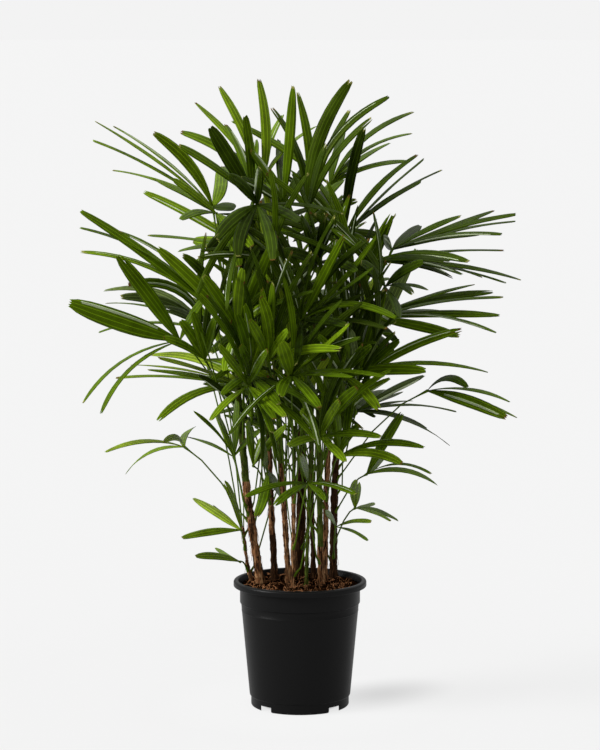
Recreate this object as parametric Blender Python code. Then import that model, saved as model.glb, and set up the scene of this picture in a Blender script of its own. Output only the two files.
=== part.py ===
"""Lady palm in a black nursery pot.

A clump of slim canes stands in the soil of a round pot. Every frond is a fan of blunt leaflets that
spread from a small hub at the end of a stalk, and the stalk's foot sits on its cane.
The frame's origin is under the middle of the pot, on the surface it stands on, with +Z up and the
front facing -Y. Lengths in the plan below are in millimetres, angles in degrees.
"""

import bpy
import bmesh
import math
import random
from collections import namedtuple
from mathutils import Vector
from mathutils.bvhtree import BVHTree

MM = 0.001

# Pot: outer radii and heights
POT_SIDES = 36
POT_HEIGHT = 230.0
LIP_RADIUS = 120.0
LIP_CREST_RADIUS = 115.5
LIP_ROUND = ((1.2, 1.6), (0.0, 4.0))
LIP_INNER_RADIUS = 111.0
LIP_INNER_DROP = 1.5
LIP_DROP = 11.0
LIP_HOLLOW = 6.0
COLLAR_RADIUS = 108.5
COLLAR_BOTTOM = 190.0
COLLAR_STEP = 2.0
BODY_TOP_RADIUS = 106.4
BODY_BOTTOM_RADIUS = 91.3
BODY_BOTTOM = 18.0
FOOT_RADIUS = 88.6
FOOT_TOP = 15.5
FOOT_BEVEL = 1.0
FOOT_HEIGHT = 17.0
WALL = 1.8
FOOT_WALL = 3.0
FLOOR = 2.0
NOTCH_WIDTH = 28.0
NOTCH_TURN = 45.0
NOTCH_REST = 0.8

# Soil: its flat middle, where the canes stand, and its edge at the wall
SOIL_LEVEL = 219.0
SOIL_EDGE_LEVEL = 214.0
SOIL_FLAT_RADIUS = 100.0

# Clearances between pieces: at a seat, round the soil, and on every side of a leaflet
SEAT_GAP = 0.3
SOIL_GAP = 0.4
ROOM = 0.6

# Canes
CANE_SIDES = 8
CANE_STATIONS = (0.0, 0.05, 0.35, 0.7, 0.97, 1.0)
CANE_FLARE = 1.3
CANE_TIP_SHARE = 0.55

# Stalks of the fronds
STALK_RADIUS = 2.5
STALK_STATIONS = (0.0, 0.35, 0.7, 1.0)
STALK_STEP = 9.0
STALK_RISE_SHARE = 0.28
STALK_LOWEST = 20.0
STALK_BELOW_TIP = 12.0
HUB_RADIUS = 5.0

# Leaflets
LEAFLET_REACH = 235.0
LEAFLET_BREADTH = 22.0
LEAFLET_BREADTH_SPARE = 1.04
LEAFLET_THICKNESS_SHARE = 0.011
LEAFLET_OUTLINE = ((0.0, 0.13), (0.3, 0.7), (0.68, 1.0), (1.0, 0.36))
LEAFLET_DEPTH_SHARE = 0.6
NEAR_DEPTH = 45.0
DEEPEST = 322.0
EASE_LEVEL = 1.1
EASE_RANGE = 0.35

# The plan of the front is laid out as a standing viewer sees it, on the upright plane through the
# pot's axis. A piece before or behind that plane lies on the same line of sight.
EYE = Vector((0.0, -5000.0, 1200.0))

Cane = namedtuple("Cane", "foot top radius tip_radius bow")
Frond = namedtuple("Frond", "name cane foot depth hub leaflets")
Leaflet = namedtuple("Leaflet", "hub tip bow ease facing breadth")

# Each cane: foot (x, y), tip (x, y, z), foot and tip radius, sideways bow
CANES = (
    Cane((-89, 30), (-103, 24, 322), 4.0, 3.0, (-2, 0)),
    Cane((-71, 12), (-114, -4, 690), 8.2, 5.4, (-10, 0)),
    Cane((-46, 52), (-60, 40, 730), 6.4, 4.6, (-4, 0)),
    Cane((-20, 8), (-46, -24, 640), 5.6, 4.2, (0, 0)),
    Cane((-13, -36), (-10, -74, 520), 4.4, 3.6, (0, 0)),
    Cane((-2, 84), (4, 70, 760), 9.4, 6.0, (4, 0)),
    Cane((11, -16), (20, -52, 520), 3.8, 3.2, (0, 0)),
    Cane((25, 56), (24, 44, 740), 4.6, 4.0, (-4, 0)),
    Cane((45, 36), (64, 6, 650), 5.4, 4.4, (-5, 0)),
    Cane((38, -4), (32, -16, 560), 6.2, 4.8, (0, 0)),
    Cane((61, 60), (86, 30, 700), 7.2, 5.0, (-8, 0)),
)

# Each frond: its cane, the stalk's foot height, the hub's depth, the hub (across, up), and for every
# leaflet its heading from level right, its length, its width as seen from the front, and its arch in
# percent of the length
FRONDS = (
    Frond("frond_top_01", 3, 680, -40, (-85, 920), (
        (121, 146, 27, 1), (110, 137, 14, 5), (95, 146, 16, 1), (134, 76, 13, 2), (145, 160, 13, 4),
        (86, 101, 14, 0))),
    Frond("frond_top_02", 6, 700, 60, (-67, 945), (
        (92, 184, 18, 5), (114, 188, 16, 4), (130, 186, 11, 5), (148, 171, 18, 7), (73, 126, 13, 8),
        (46, 139, 7, 10))),
    Frond("frond_top_03", 6, 680, 20, (-30, 906), (
        (85, 213, 18, 0), (57, 116, 14, 3), (121, 114, 14, 3), (94, 116, 16, 2), (148, 90, 16, 5))),
    Frond("frond_top_04", 8, 680, -20, (14, 890), (
        (72, 249, 24, 8), (95, 217, 16, 5), (55, 254, 14, 14), (68, 199, 11, 5), (56, 205, 11, 8),
        (109, 199, 13, 9), (75, 129, 11, 4), (97, 79, 18, 2))),
    Frond("frond_top_05", 9, 700, 70, (53, 941), (
        (41, 197, 9, 11), (32, 172, 7, 12), (35, 130, 9, 6), (17, 145, 9, 8), (147, 209, 13, 5),
        (75, 101, 14, 3))),
    Frond("frond_top_06", 11, 645, 40, (80, 852), (
        (80, 196, 18, 3), (48, 193, 11, 7), (44, 196, 4, 2), (34, 208, 5, 5), (35, 167, 9, 4),
        (121, 93, 16, 4))),
    Frond("frond_top_07", 3, 665, -110, (-76, 906), (
        (85, 68, 16, 2), (134, 74, 18, 4), (-75, 105, 22, 8), (250, 100, 22, 8), (-22, 82, 18, 8),
        (220, 97, 22, 8))),
    Frond("frond_top_08", 4, 610, -90, (32, 804), (
        (67, 85, 18, 6), (81, 88, 14, 3), (111, 90, 14, 3), (229, 90, 16, 8), (-14, 72, 16, 8),
        (161, 64, 18, 5))),
    Frond("frond_left_01", 2, 665, 30, (-155, 902), (
        (144, 259, 5, 3), (141, 228, 5, 5), (151, 244, 5, 4), (160, 190, 5, 6), (129, 170, 20, 9),
        (80, 72, 25, -12), (-2, 41, 16, 4))),
    Frond("frond_left_02", 2, 645, -60, (-148, 890), (
        (142, 99, 13, 2), (151, 132, 7, 1), (190, 66, 11, 14), (-43, 87, 22, 6), (-67, 104, 22, 6),
        (-36, 122, 5, 2))),
    Frond("frond_left_03", 6, 590, 90, (-101, 831), (
        (151, 203, 16, 2), (173, 172, 5, 2), (173, 90, 25, 3), (184, 116, 9, 6), (199, 100, 11, 5),
        (50, 75, 14, 5), (-60, 89, 18, 8))),
    Frond("frond_left_04", 2, 555, -30, (-152, 715), (
        (143, 301, 18, 2), (148, 284, 5, 9), (140, 226, 5, 9), (156, 263, 9, 10), (120, 118, 16, 12),
        (33, 66, 16, 6))),
    Frond("frond_left_05", 3, 555, -120, (-111, 681), (
        (68, 176, 20, 1), (85, 113, 22, 4), (122, 118, 20, 3), (134, 208, 22, 3), (44, 65, 16, 3),
        (252, 77, 16, 5))),
    Frond("frond_left_06", 2, 520, -80, (-215, 663), (
        (161, 211, 36, 0), (126, 191, 27, 2), (213, 209, 5, 12), (223, 195, 7, 12), (59, 86, 14, 5),
        (-17, 67, 16, 5))),
    Frond("frond_left_07", 2, 540, 40, (-166, 681), (
        (150, 165, 16, 22), (159, 198, 11, 18), (159, 168, 18, 12), (165, 188, 4, 9), (152, 89, 14, 8),
        (181, 195, 5, 9))),
    Frond("frond_left_08", 2, 500, -60, (-170, 629), (
        (122, 84, 18, 3), (152, 85, 14, 4), (76, 78, 16, 3), (-20, 63, 16, 6), (105, 89, 16, 3))),
    Frond("frond_left_09", 2, 475, -20, (-102, 580), (
        (161, 162, 7, 3), (161, 175, 14, 13), (170, 174, 7, 2), (176, 230, 5, 4), (169, 206, 3, 5),
        (182, 142, 7, 3), (202, 167, 14, 13))),
    Frond("frond_left_10", 2, 365, -30, (-119, 453), (
        (131, 110, 5, 5), (111, 88, 11, 2), (86, 104, 13, 1), (157, 93, 5, 8), (44, 70, 11, 5))),
    Frond("frond_left_11", 2, 340, 20, (-207, 471), (
        (184, 144, 7, 10), (205, 117, 5, 16), (167, 40, 11, 35), (63, 41, 11, 25))),
    Frond("frond_left_12", 1, 285, -20, (-106, 320), (
        (109, 94, 11, 3), (146, 104, 14, 3), (188, 109, 13, 3), (138, 68, 5, 3))),
    Frond("frond_left_13", 1, 245, 0, (-108, 262), (
        (173, 82, 13, 5), (150, 52, 7, 2))),
    Frond("frond_right_01", 11, 630, 20, (164, 826), (
        (127, 27, 14, 5), (41, 66, 18, 2), (26, 137, 9, 3), (21, 195, 9, 1), (16, 231, 9, 3),
        (13, 226, 5, 4), (8, 199, 7, 6), (10, 159, 11, 4))),
    Frond("frond_right_02", 9, 610, -40, (128, 804), (
        (0, 175, 14, 8), (5, 238, 4, 3), (0, 139, 11, 5), (-11, 147, 11, 9), (-8, 164, 7, 7),
        (-8, 200, 7, 7), (-9, 244, 4, 5), (-7, 270, 7, 5))),
    Frond("frond_right_03", 11, 555, 30, (129, 704), (
        (18, 193, 5, 3), (12, 221, 14, 4), (9, 238, 5, 4), (1, 229, 13, 3), (-7, 224, 5, 8),
        (6, 122, 5, 5), (-12, 161, 18, 1))),
    Frond("frond_right_04", 9, 485, -60, (104, 592), (
        (26, 208, 16, 6), (74, 169, 25, 2), (66, 259, 24, 2), (24, 107, 13, 5), (99, 91, 16, 2),
        (44, 104, 14, 3))),
    Frond("frond_right_05", 9, 485, -110, (77, 601), (
        (3, 151, 20, 3), (1, 261, 7, 8), (79, 57, 14, 2), (122, 85, 16, 4), (46, 75, 14, 2))),
    Frond("frond_right_06", 11, 410, -50, (228, 573), (
        (-19, 152, 22, 5), (-17, 169, 5, 5), (-8, 150, 5, 8), (4, 74, 11, 25))),
    Frond("frond_right_07", 11, 350, -20, (120, 422), (
        (60, 129, 18, 1), (-9, 128, 9, 15), (0, 117, 4, 15), (47, 47, 13, 8))),
    Frond("frond_right_08", 9, 375, -80, (68, 453), (
        (6, 157, 11, 11), (-6, 118, 16, 12), (56, 70, 14, 4), (126, 61, 14, 4))),
    Frond("frond_right_09", 11, 295, -20, (99, 360), (
        (84, 51, 20, 2), (-16, 81, 9, 8), (-20, 69, 5, 5), (14, 37, 5, 5))),
    Frond("frond_right_10", 11, 265, -60, (65, 326), (
        (8, 65, 7, 6), (-24, 63, 5, 8), (126, 34, 9, 5))),
    Frond("frond_right_11", 11, 430, 50, (100, 535), (
        (23, 92, 5, 3), (11, 104, 4, 6), (28, 139, 13, 3), (0, 181, 4, 7), (-14, 133, 9, 9),
        (-20, 180, 3, 9), (121, 57, 14, 4))),
    Frond("frond_right_12", 9, 575, -100, (152, 760), (
        (33, 82, 16, 8), (-16, 52, 9, 20), (-5, 77, 4, 10), (135, 63, 16, 5), (-67, 60, 14, 8),
        (239, 69, 18, 8))),
    Frond("frond_right_13", 9, 520, 0, (98, 726), (
        (68, 177, 22, 2), (107, 105, 18, 3), (66, 180, 4, 6), (138, 84, 16, 5), (-66, 76, 16, 5),
        (213, 53, 16, 8))),
    Frond("frond_front_01", 4, 520, -150, (2, 700), (
        (63, 171, 16, 1), (36, 161, 5, 0), (49, 221, 9, -4), (1, 171, 11, 16), (-7, 83, 16, 6),
        (264, 81, 13, 0), (110, 134, 9, 2), (106, 112, 14, 2))),
    Frond("frond_front_02", 3, 400, -40, (-59, 424), (
        (256, 84, 19, -5), (-60, 46, 13, 3), (100, 60, 11, 2))),
    Frond("frond_front_03", 5, 430, -190, (-16, 601), (
        (107, 62, 27, 2), (244, 44, 22, 8), (41, 140, 7, 0), (-1, 168, 7, 5), (-2, 111, 7, 3),
        (-49, 79, 16, 6))),
    Frond("frond_front_04", 4, 485, -170, (-57, 625), (
        (95, 133, 13, 2), (86, 144, 13, 1), (114, 83, 16, 2), (58, 68, 14, 3), (230, 56, 9, 5))),
    Frond("frond_front_05", 3, 465, -130, (-90, 601), (
        (216, 62, 16, 8), (257, 83, 16, 6), (-45, 76, 16, 8), (108, 57, 16, 2), (136, 60, 14, 3))),
    Frond("frond_front_06", 4, 465, -160, (-93, 582), (
        (223, 93, 11, 5), (126, 91, 14, 0), (61, 74, 14, 3), (-52, 78, 14, 6))),
    Frond("frond_front_07", 3, 365, -60, (-84, 437), (
        (98, 84, 13, 2), (71, 50, 11, 2), (50, 97, 13, 4))),
    Frond("frond_front_08", 5, 300, -120, (14, 406), (
        (193, 116, 9, 8), (215, 73, 13, 8), (-45, 44, 11, 8), (-14, 91, 9, 8), (106, 53, 14, 3))),
    Frond("frond_front_09", 7, 375, -150, (36, 489), (
        (0, 111, 13, 5), (126, 61, 16, 3), (62, 76, 16, 3), (196, 60, 14, 6), (-45, 64, 14, 6))),
)

# Leaflets that fill the fronds up inside the crown's core, which is an oval of the plan
CORE_CENTRE = (-8.0, 705.0)
CORE_HALF = (190.0, 280.0)
FULL_FROND = 6
INNER_TRIES = 7
INNER_LENGTHS = (80.0, 150.0)
INNER_WIDTHS = (10.0, 20.0)
INNER_ARCH = 6.0

# Fronds at the back: each group shares one thin shoot, seated on a back cane, and has a fan of
# leaflets on every tier (height, reach from the axis, pitch)
BACK_SEED = 7
BACK_CANES = (11, 8, 6, 3)
BACK_FOOT = 380.0
BACK_TURNS = (38.0, 70.0, 104.0, 142.0)
BACK_TIERS = ((520.0, 130.0, 5.0), (690.0, 145.0, 20.0), (860.0, 100.0, 45.0))
BACK_TURN_SPARE = 14.0
BACK_TURN_TRIES = (0.0, 9.0, -9.0, 18.0, -18.0)
BACK_HEIGHT_SPARE = 25.0
BACK_REACH_SHARES = (0.9, 1.1)
BACK_LEAFLETS = 6
BACK_SPREAD = 95.0
BACK_SPREAD_SPARE = 6.0
BACK_REACH = 210.0
BACK_SIDE_SHARE = 0.72
BACK_LENGTH_SHARES = (0.92, 1.08)
BACK_BREADTH = 24.0
BACK_DROOP = 0.25
BACK_ARCH = 0.08
BACK_SHORTER = (1.0, 0.85, 0.7)
BACK_SWAYS = (0.0, 0.12, -0.12, 0.24, -0.24)
BRANCH_LOW = 0.35
BRANCH_STEP = 0.3
BRANCH_RISE = 0.1

# Small moves that are tried until a piece has room, nearest first
HEIGHT_TRIES = (0, 12, -12, 24, -24, 40, -40, 60, -60, 85, -85, 110, -110, 140, -140)
DEPTH_TRIES = (0, 10, -10, 22, -22, 36, -36, 52, -52, 70, -70)
HUB_TRIES = (0, 14, -14, 30, -30)


def clear_objects():
    """Remove what the open file holds, so that the plant stands alone."""
    for found in list(bpy.data.objects):
        bpy.data.objects.remove(found, do_unlink=True)


def plain_material(name, colour, roughness):
    """A Principled material of one colour."""
    made = bpy.data.materials.new(name)
    made.use_nodes = True
    shader = made.node_tree.nodes["Principled BSDF"]
    shader.inputs["Base Color"].default_value = (*colour, 1.0)
    shader.inputs["Roughness"].default_value = roughness
    shader.inputs["Metallic"].default_value = 0.0
    made.diffuse_color = (*colour, 1.0)
    return made


def signed_volume(points, faces):
    """The volume inside a closed shape, negative where its faces point in."""
    total = 0.0
    for face in faces:
        first = points[face[0]]
        for second, third in zip(face[1:], face[2:]):
            total += first.dot(points[second].cross(points[third]))
    return total / 6.0


def outward(points, faces):
    """The same shape with its faces pointing out."""
    if signed_volume(points, faces) < 0:
        faces = [tuple(reversed(face)) for face in faces]
    return points, faces


def add_object(name, shape, material):
    """Make one named object from points in millimetres and faces."""
    points, faces = shape
    mesh = bpy.data.meshes.new(name)
    mesh.from_pydata([point * MM for point in points], [], faces)
    mesh.materials.append(material)
    mesh.validate()
    made = bpy.data.objects.new(name, mesh)
    bpy.context.scene.collection.objects.link(made)
    return made


def loft(rings):
    """Faces that join rings of equal size, with a flat face on each end."""
    size = len(rings[0])
    points = [point for ring in rings for point in ring]
    faces = [tuple(reversed(range(size)))]
    for row in range(len(rings) - 1):
        for place in range(size):
            following = (place + 1) % size
            low = row * size
            high = low + size
            faces.append((low + place, low + following, high + following, high + place))
    last = (len(rings) - 1) * size
    faces.append(tuple(range(last, last + size)))
    return outward(points, faces)


def seen(across, up, depth):
    """The point at a depth that the viewer sees at this place of the plan."""
    place = Vector((across, 0.0, up))
    return EYE + (place - EYE) * ((depth - EYE.y) / -EYE.y)


def curve_point(start, middle, end, share):
    """A point on the quadratic curve that is pulled toward its middle point."""
    rest = 1.0 - share
    return start * rest * rest + middle * 2.0 * share * rest + end * share * share


def tube(points, radii, sides, first_direction=None):
    """A tapering limb along a path. Its first cut can be square to a given direction."""
    rings = []
    aside = None
    for place, (point, radius) in enumerate(zip(points, radii)):
        before = points[max(place - 1, 0)]
        after = points[min(place + 1, len(points) - 1)]
        along = (after - before).normalized()
        if place == 0 and first_direction is not None:
            along = first_direction.normalized()
        if aside is None:
            aside = along.orthogonal()
        aside = (aside - along * aside.dot(along)).normalized()
        across = along.cross(aside)
        ring = []
        for corner in range(sides):
            turn = 2.0 * math.pi * corner / sides
            ring.append(point + (aside * math.cos(turn) + across * math.sin(turn)) * radius)
        rings.append(ring)
    return loft(rings)


def blade_section(half, rib, grow):
    """A leaflet's section as (aside, upward) corners, or the box that keeps room round it."""
    if not grow:
        return (-half, 0.0), (half, 0.0), (0.0, rib)
    side = half + grow
    return (-side, -grow), (side, -grow), (side, grow), (0.0, rib + grow), (-side, grow)


def blade(points, facing, breadth, thickness, grow=0.0):
    """A leaflet: two thin edges and a raised rib, along an arching path."""
    rings = []
    for place, (point, (share, outline)) in enumerate(zip(points, LEAFLET_OUTLINE)):
        before = points[max(place - 1, 0)]
        after = points[min(place + 1, len(points) - 1)]
        along = (after - before).normalized()
        upward = (facing - along * facing.dot(along)).normalized()
        aside = upward.cross(along)
        centre = point
        if place == len(points) - 1:
            centre = point + along * grow
        section = blade_section(breadth * outline / 2.0, thickness * (1.0 - 0.5 * share), grow)
        rings.append([centre + aside * x + upward * z for x, z in section])
    return loft(rings)


class Room:
    """Keeps every placed piece and tells whether a new one would touch another node's."""

    def __init__(self):
        self.pieces = []

    def add(self, node, shape):
        points, faces = shape
        tree = BVHTree.FromPolygons(points, faces)
        low, high = extent(points)
        self.pieces.append((node, tree, low, high))

    def is_free(self, node, shape, skipped=()):
        points, faces = shape
        low, high = extent(points)
        tree = None
        for other, other_tree, other_low, other_high in self.pieces:
            if other == node or other in skipped:
                continue
            if any(low[i] > other_high[i] or other_low[i] > high[i] for i in range(3)):
                continue
            if tree is None:
                tree = BVHTree.FromPolygons(points, faces)
            if tree.overlap(other_tree):
                return False
        return True


def extent(points):
    """The lowest and highest corner of the box round the points."""
    low = tuple(min(point[i] for point in points) for i in range(3))
    high = tuple(max(point[i] for point in points) for i in range(3))
    return low, high


def pot_profile():
    """The wall's section: (radius, height) down the outside, under the floor and up the inside."""
    lip_foot = POT_HEIGHT - LIP_DROP
    outer = [
        (LIP_CREST_RADIUS, POT_HEIGHT),
        (LIP_RADIUS - LIP_ROUND[0][0], POT_HEIGHT - LIP_ROUND[0][1]),
        (LIP_RADIUS - LIP_ROUND[1][0], POT_HEIGHT - LIP_ROUND[1][1]),
        (LIP_RADIUS, lip_foot),
        (LIP_RADIUS - WALL, lip_foot),
        (LIP_RADIUS - 1.5 * WALL, lip_foot + LIP_HOLLOW),
        (COLLAR_RADIUS, lip_foot + LIP_HOLLOW - 1.0),
        (COLLAR_RADIUS, COLLAR_BOTTOM),
        (BODY_TOP_RADIUS, COLLAR_BOTTOM - COLLAR_STEP),
        (BODY_BOTTOM_RADIUS, BODY_BOTTOM),
        (FOOT_RADIUS, FOOT_TOP),
        (FOOT_RADIUS, FOOT_BEVEL),
        (FOOT_RADIUS - FOOT_BEVEL, 0.0),
        (FOOT_RADIUS - FOOT_WALL, 0.0),
        (FOOT_RADIUS - FOOT_WALL, FOOT_HEIGHT),
        (0.0, FOOT_HEIGHT),
    ]
    inner = [
        (0.0, FOOT_HEIGHT + FLOOR),
        (BODY_BOTTOM_RADIUS - WALL, FOOT_HEIGHT + FLOOR),
        (BODY_TOP_RADIUS - WALL, COLLAR_BOTTOM - COLLAR_STEP),
        (COLLAR_RADIUS - WALL, COLLAR_BOTTOM + 0.5 * COLLAR_STEP),
        (COLLAR_RADIUS - WALL, lip_foot + LIP_HOLLOW - 1.0),
        (LIP_INNER_RADIUS, POT_HEIGHT - LIP_INNER_DROP),
    ]
    return outer, inner


def turned(profile, sides):
    """A solid of revolution from a closed section that touches the axis at two of its points."""
    points = []
    rows = []
    for radius, height in profile:
        if radius == 0.0:
            rows.append([len(points)] * sides)
            points.append(Vector((0.0, 0.0, height)))
            continue
        rows.append(list(range(len(points), len(points) + sides)))
        for side in range(sides):
            turn = 2.0 * math.pi * side / sides
            points.append(Vector((radius * math.cos(turn), radius * math.sin(turn), height)))
    faces = []
    for row in range(len(rows)):
        upper = rows[row]
        lower = rows[(row + 1) % len(rows)]
        for side in range(sides):
            following = (side + 1) % sides
            corners = (upper[side], upper[following], lower[following], lower[side])
            kept = tuple(dict.fromkeys(corners))
            if len(kept) > 2:
                faces.append(kept)
    return outward(points, faces)


def cut_by(target, cutter):
    """Cut one object with another, apply the cut and remove the cutter."""
    cutter.hide_render = True
    cutter.display_type = "WIRE"
    cut = target.modifiers.new("cut", "BOOLEAN")
    cut.operation = "DIFFERENCE"
    cut.solver = "EXACT"
    cut.object = cutter
    bake(target)
    bpy.data.objects.remove(cutter, do_unlink=True)


def bake(target):
    """Replace an object's mesh by what its modifiers make of it."""
    graph = bpy.context.evaluated_depsgraph_get()
    result = bpy.data.meshes.new_from_object(target.evaluated_get(graph))
    target.modifiers.clear()
    target.data = result


def box_shape(width, depth, low, high, turn):
    """An upright box round the axis, turned by an angle."""
    corners = ((-1, -1), (1, -1), (1, 1), (-1, 1))
    rings = []
    for height in (low, high):
        ring = []
        for x, y in corners:
            across = x * width / 2.0
            along = y * depth / 2.0
            ring.append(Vector((
                across * math.cos(turn) - along * math.sin(turn),
                across * math.sin(turn) + along * math.cos(turn), height)))
        rings.append(ring)
    return loft(rings)


def make_pot(material):
    """The pot: rolled lip, collar, tapering wall, floor, and a foot ring with four notches."""
    outer, inner = pot_profile()
    pot = add_object("pot", turned(outer + inner, POT_SIDES), material)
    for quarter in (0, 1):
        turn = math.radians(NOTCH_TURN + 90.0 * quarter)
        bar = box_shape(2.4 * FOOT_RADIUS, NOTCH_WIDTH, -FOOT_WALL, FOOT_HEIGHT - NOTCH_REST, turn)
        cut_by(pot, add_object("notch_cutter", bar, material))
    return pot


def make_soil(material):
    """The soil fills the pot, a hair clear of its wall, and is level where the canes stand."""
    profile = [
        (0.0, SOIL_LEVEL),
        (SOIL_FLAT_RADIUS, SOIL_LEVEL),
        (COLLAR_RADIUS - WALL - SOIL_GAP, SOIL_EDGE_LEVEL),
        (COLLAR_RADIUS - WALL - SOIL_GAP, COLLAR_BOTTOM + 0.5 * COLLAR_STEP + SOIL_GAP),
        (BODY_TOP_RADIUS - WALL - SOIL_GAP, COLLAR_BOTTOM - COLLAR_STEP),
        (BODY_BOTTOM_RADIUS - WALL - SOIL_GAP, FOOT_HEIGHT + FLOOR + SOIL_GAP),
        (0.0, FOOT_HEIGHT + FLOOR + SOIL_GAP),
    ]
    return add_object("soil", turned(profile, POT_SIDES), material)


def cane_station(cane, share):
    """The middle of a cane at a share of its height, on its bowed line."""
    foot = Vector((cane.foot[0], cane.foot[1], SOIL_LEVEL + SEAT_GAP))
    bow = Vector((cane.bow[0], cane.bow[1], 0.0)) * 4.0 * share * (1.0 - share)
    return foot.lerp(Vector(cane.top), share) + bow


def cane_centre(cane, height):
    """The middle of a cane at a height, on the straight line from one station to the next."""
    low = SOIL_LEVEL + SEAT_GAP
    share = min(max((height - low) / (cane.top[2] - low), 0.0), 1.0)
    for before, after in zip(CANE_STATIONS, CANE_STATIONS[1:]):
        if share <= after:
            part = (share - before) / (after - before)
            return cane_station(cane, before).lerp(cane_station(cane, after), part)


def cane_radius(cane, height):
    """A cane's radius at a height, with its taper and the flare at its foot."""
    low = SOIL_LEVEL + SEAT_GAP
    share = (height - low) / (cane.top[2] - low)
    plain = cane.radius + (cane.tip_radius - cane.radius) * share
    flare = (CANE_FLARE - 1.0) * max(0.0, 1.0 - share / CANE_STATIONS[1])
    return plain * (1.0 + flare)


def cane_ring(centre, radius):
    """The corners of a cane's level section."""
    ring = []
    for side in range(CANE_SIDES):
        turn = 2.0 * math.pi * side / CANE_SIDES
        ring.append(centre + Vector((math.cos(turn), math.sin(turn), 0.0)) * radius)
    return ring


def cane_shape(cane):
    """A cane as level rings, so that its foot is a flat cut on the soil."""
    rings = []
    for share in CANE_STATIONS:
        centre = cane_station(cane, share)
        radius = cane_radius(cane, centre.z)
        if share == 1.0:
            radius *= CANE_TIP_SHARE
        rings.append(cane_ring(centre, radius))
    return loft(rings)


def reach_in_band(ring, middle, heading, half):
    """How far a ring reaches along a heading within a band of this half width."""
    aside = Vector((-heading.y, heading.x, 0.0))
    places = [((corner - middle).dot(aside), (corner - middle).dot(heading)) for corner in ring]
    farthest = 0.0
    for (side, reach), (next_side, next_reach) in zip(places, places[1:] + places[:1]):
        if abs(side) <= half:
            farthest = max(farthest, reach)
        for edge in (-half, half):
            if (side - edge) * (next_side - edge) < 0.0:
                part = (edge - side) / (next_side - side)
                farthest = max(farthest, reach + (next_reach - reach) * part)
    return farthest


def seat_on_cane(cane, height, heading, radius):
    """Where a stalk's upright cut meets its cane, a hair clear of it."""
    middle = cane_centre(cane, height)
    farthest = 0.0
    for level in (height - radius, height, height + radius):
        ring = cane_ring(cane_centre(cane, level), cane_radius(cane, level))
        farthest = max(farthest, reach_in_band(ring, middle, heading, radius))
    return middle + heading * (farthest + SEAT_GAP)


def level_heading(start, end):
    """The level direction from one point to another."""
    flat = Vector((end.x - start.x, end.y - start.y, 0.0))
    if flat.length < 1.0:
        flat = Vector((0.0, -1.0, 0.0))
    return flat.normalized()


def stalk_path(start, heading, end):
    """A stalk steps out from its cane, rises and then leans over to its hub."""
    step = start + heading * STALK_STEP + Vector((0.0, 0.0, STALK_STEP))
    span = end - step
    flat = math.hypot(span.x, span.y)
    middle = step + span * 0.5 + Vector((0.0, 0.0, STALK_RISE_SHARE * flat))
    return [start] + [curve_point(step, middle, end, share) for share in STALK_STATIONS]


def stalk_shape(path, heading, grow=0.0):
    """A three-sided stalk that starts with an upright cut."""
    radii = [STALK_RADIUS + grow] * len(path)
    return tube(path, radii, 3, heading)


def leaflet_point(leaflet, share):
    """A point on a leaflet's line, which bows to one side and leans out late or early."""
    point = leaflet.hub.lerp(leaflet.tip, share) + leaflet.bow * 4.0 * share * (1.0 - share)
    point.y = leaflet.hub.y + (leaflet.tip.y - leaflet.hub.y) * share ** leaflet.ease
    return point


def facing_for_width(chord, shown, breadth):
    """Which way a leaflet faces when this much of its breadth is seen from the front."""
    along = chord.normalized()
    to_front = Vector((0.0, -1.0, 0.0))
    to_front = (to_front - along * to_front.dot(along)).normalized()
    edge_up = along.cross(to_front)
    if edge_up.z < 0:
        edge_up.negate()
    turn = math.acos(min(1.0, shown / breadth))
    return to_front * math.cos(turn) + edge_up * math.sin(turn)


def leaflet_shape(leaflet, grow=0.0):
    """One leaflet's solid."""
    thickness = (leaflet.tip - leaflet.hub).length * LEAFLET_THICKNESS_SHARE
    points = [leaflet_point(leaflet, share) for share, _ in LEAFLET_OUTLINE]
    return blade(points, leaflet.facing, leaflet.breadth, thickness, grow)


def hub_shape(centre):
    """The small body where a stalk and its leaflets meet."""
    ball = bmesh.new()
    bmesh.ops.create_icosphere(ball, subdivisions=1, radius=HUB_RADIUS)
    ball.verts.ensure_lookup_table()
    points = [centre + vert.co for vert in ball.verts]
    faces = [tuple(vert.index for vert in face.verts) for face in ball.faces]
    ball.free()
    return outward(points, faces)


def grown_box(centre, half):
    """A box round a point, used to keep room for a hub."""
    low = centre.z - half
    points, faces = box_shape(2.0 * half, 2.0 * half, low, low + 2.0 * half, 0.0)
    shift = Vector((centre.x, centre.y, 0.0))
    return [point + shift for point in points], faces


def place_stalk(room, name, cane_name, cane, foot, hub):
    """Find a foot height at which the stalk is clear of everything, and return its shape."""
    for move in HEIGHT_TRIES:
        height = min(max(foot + move, SOIL_LEVEL + STALK_LOWEST), cane.top[2] - STALK_BELOW_TIP)
        heading = level_heading(cane_centre(cane, height), hub)
        start = seat_on_cane(cane, height, heading, STALK_RADIUS)
        path = stalk_path(start, heading, hub)
        wide = stalk_shape(path, heading, 2.0 * ROOM)
        true_size = stalk_shape(path, heading)
        if room.is_free(name, wide, (cane_name,)) and room.is_free(name, true_size):
            return true_size, path
    return None, None


def place_leaflet(room, name, choices):
    """Try a leaflet's possible places in turn and return the first shape that has room."""
    for leaflet in choices:
        if room.is_free(name, leaflet_shape(leaflet, ROOM)):
            shape = leaflet_shape(leaflet)
            room.add(name, shape)
            return shape
    return None


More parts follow.
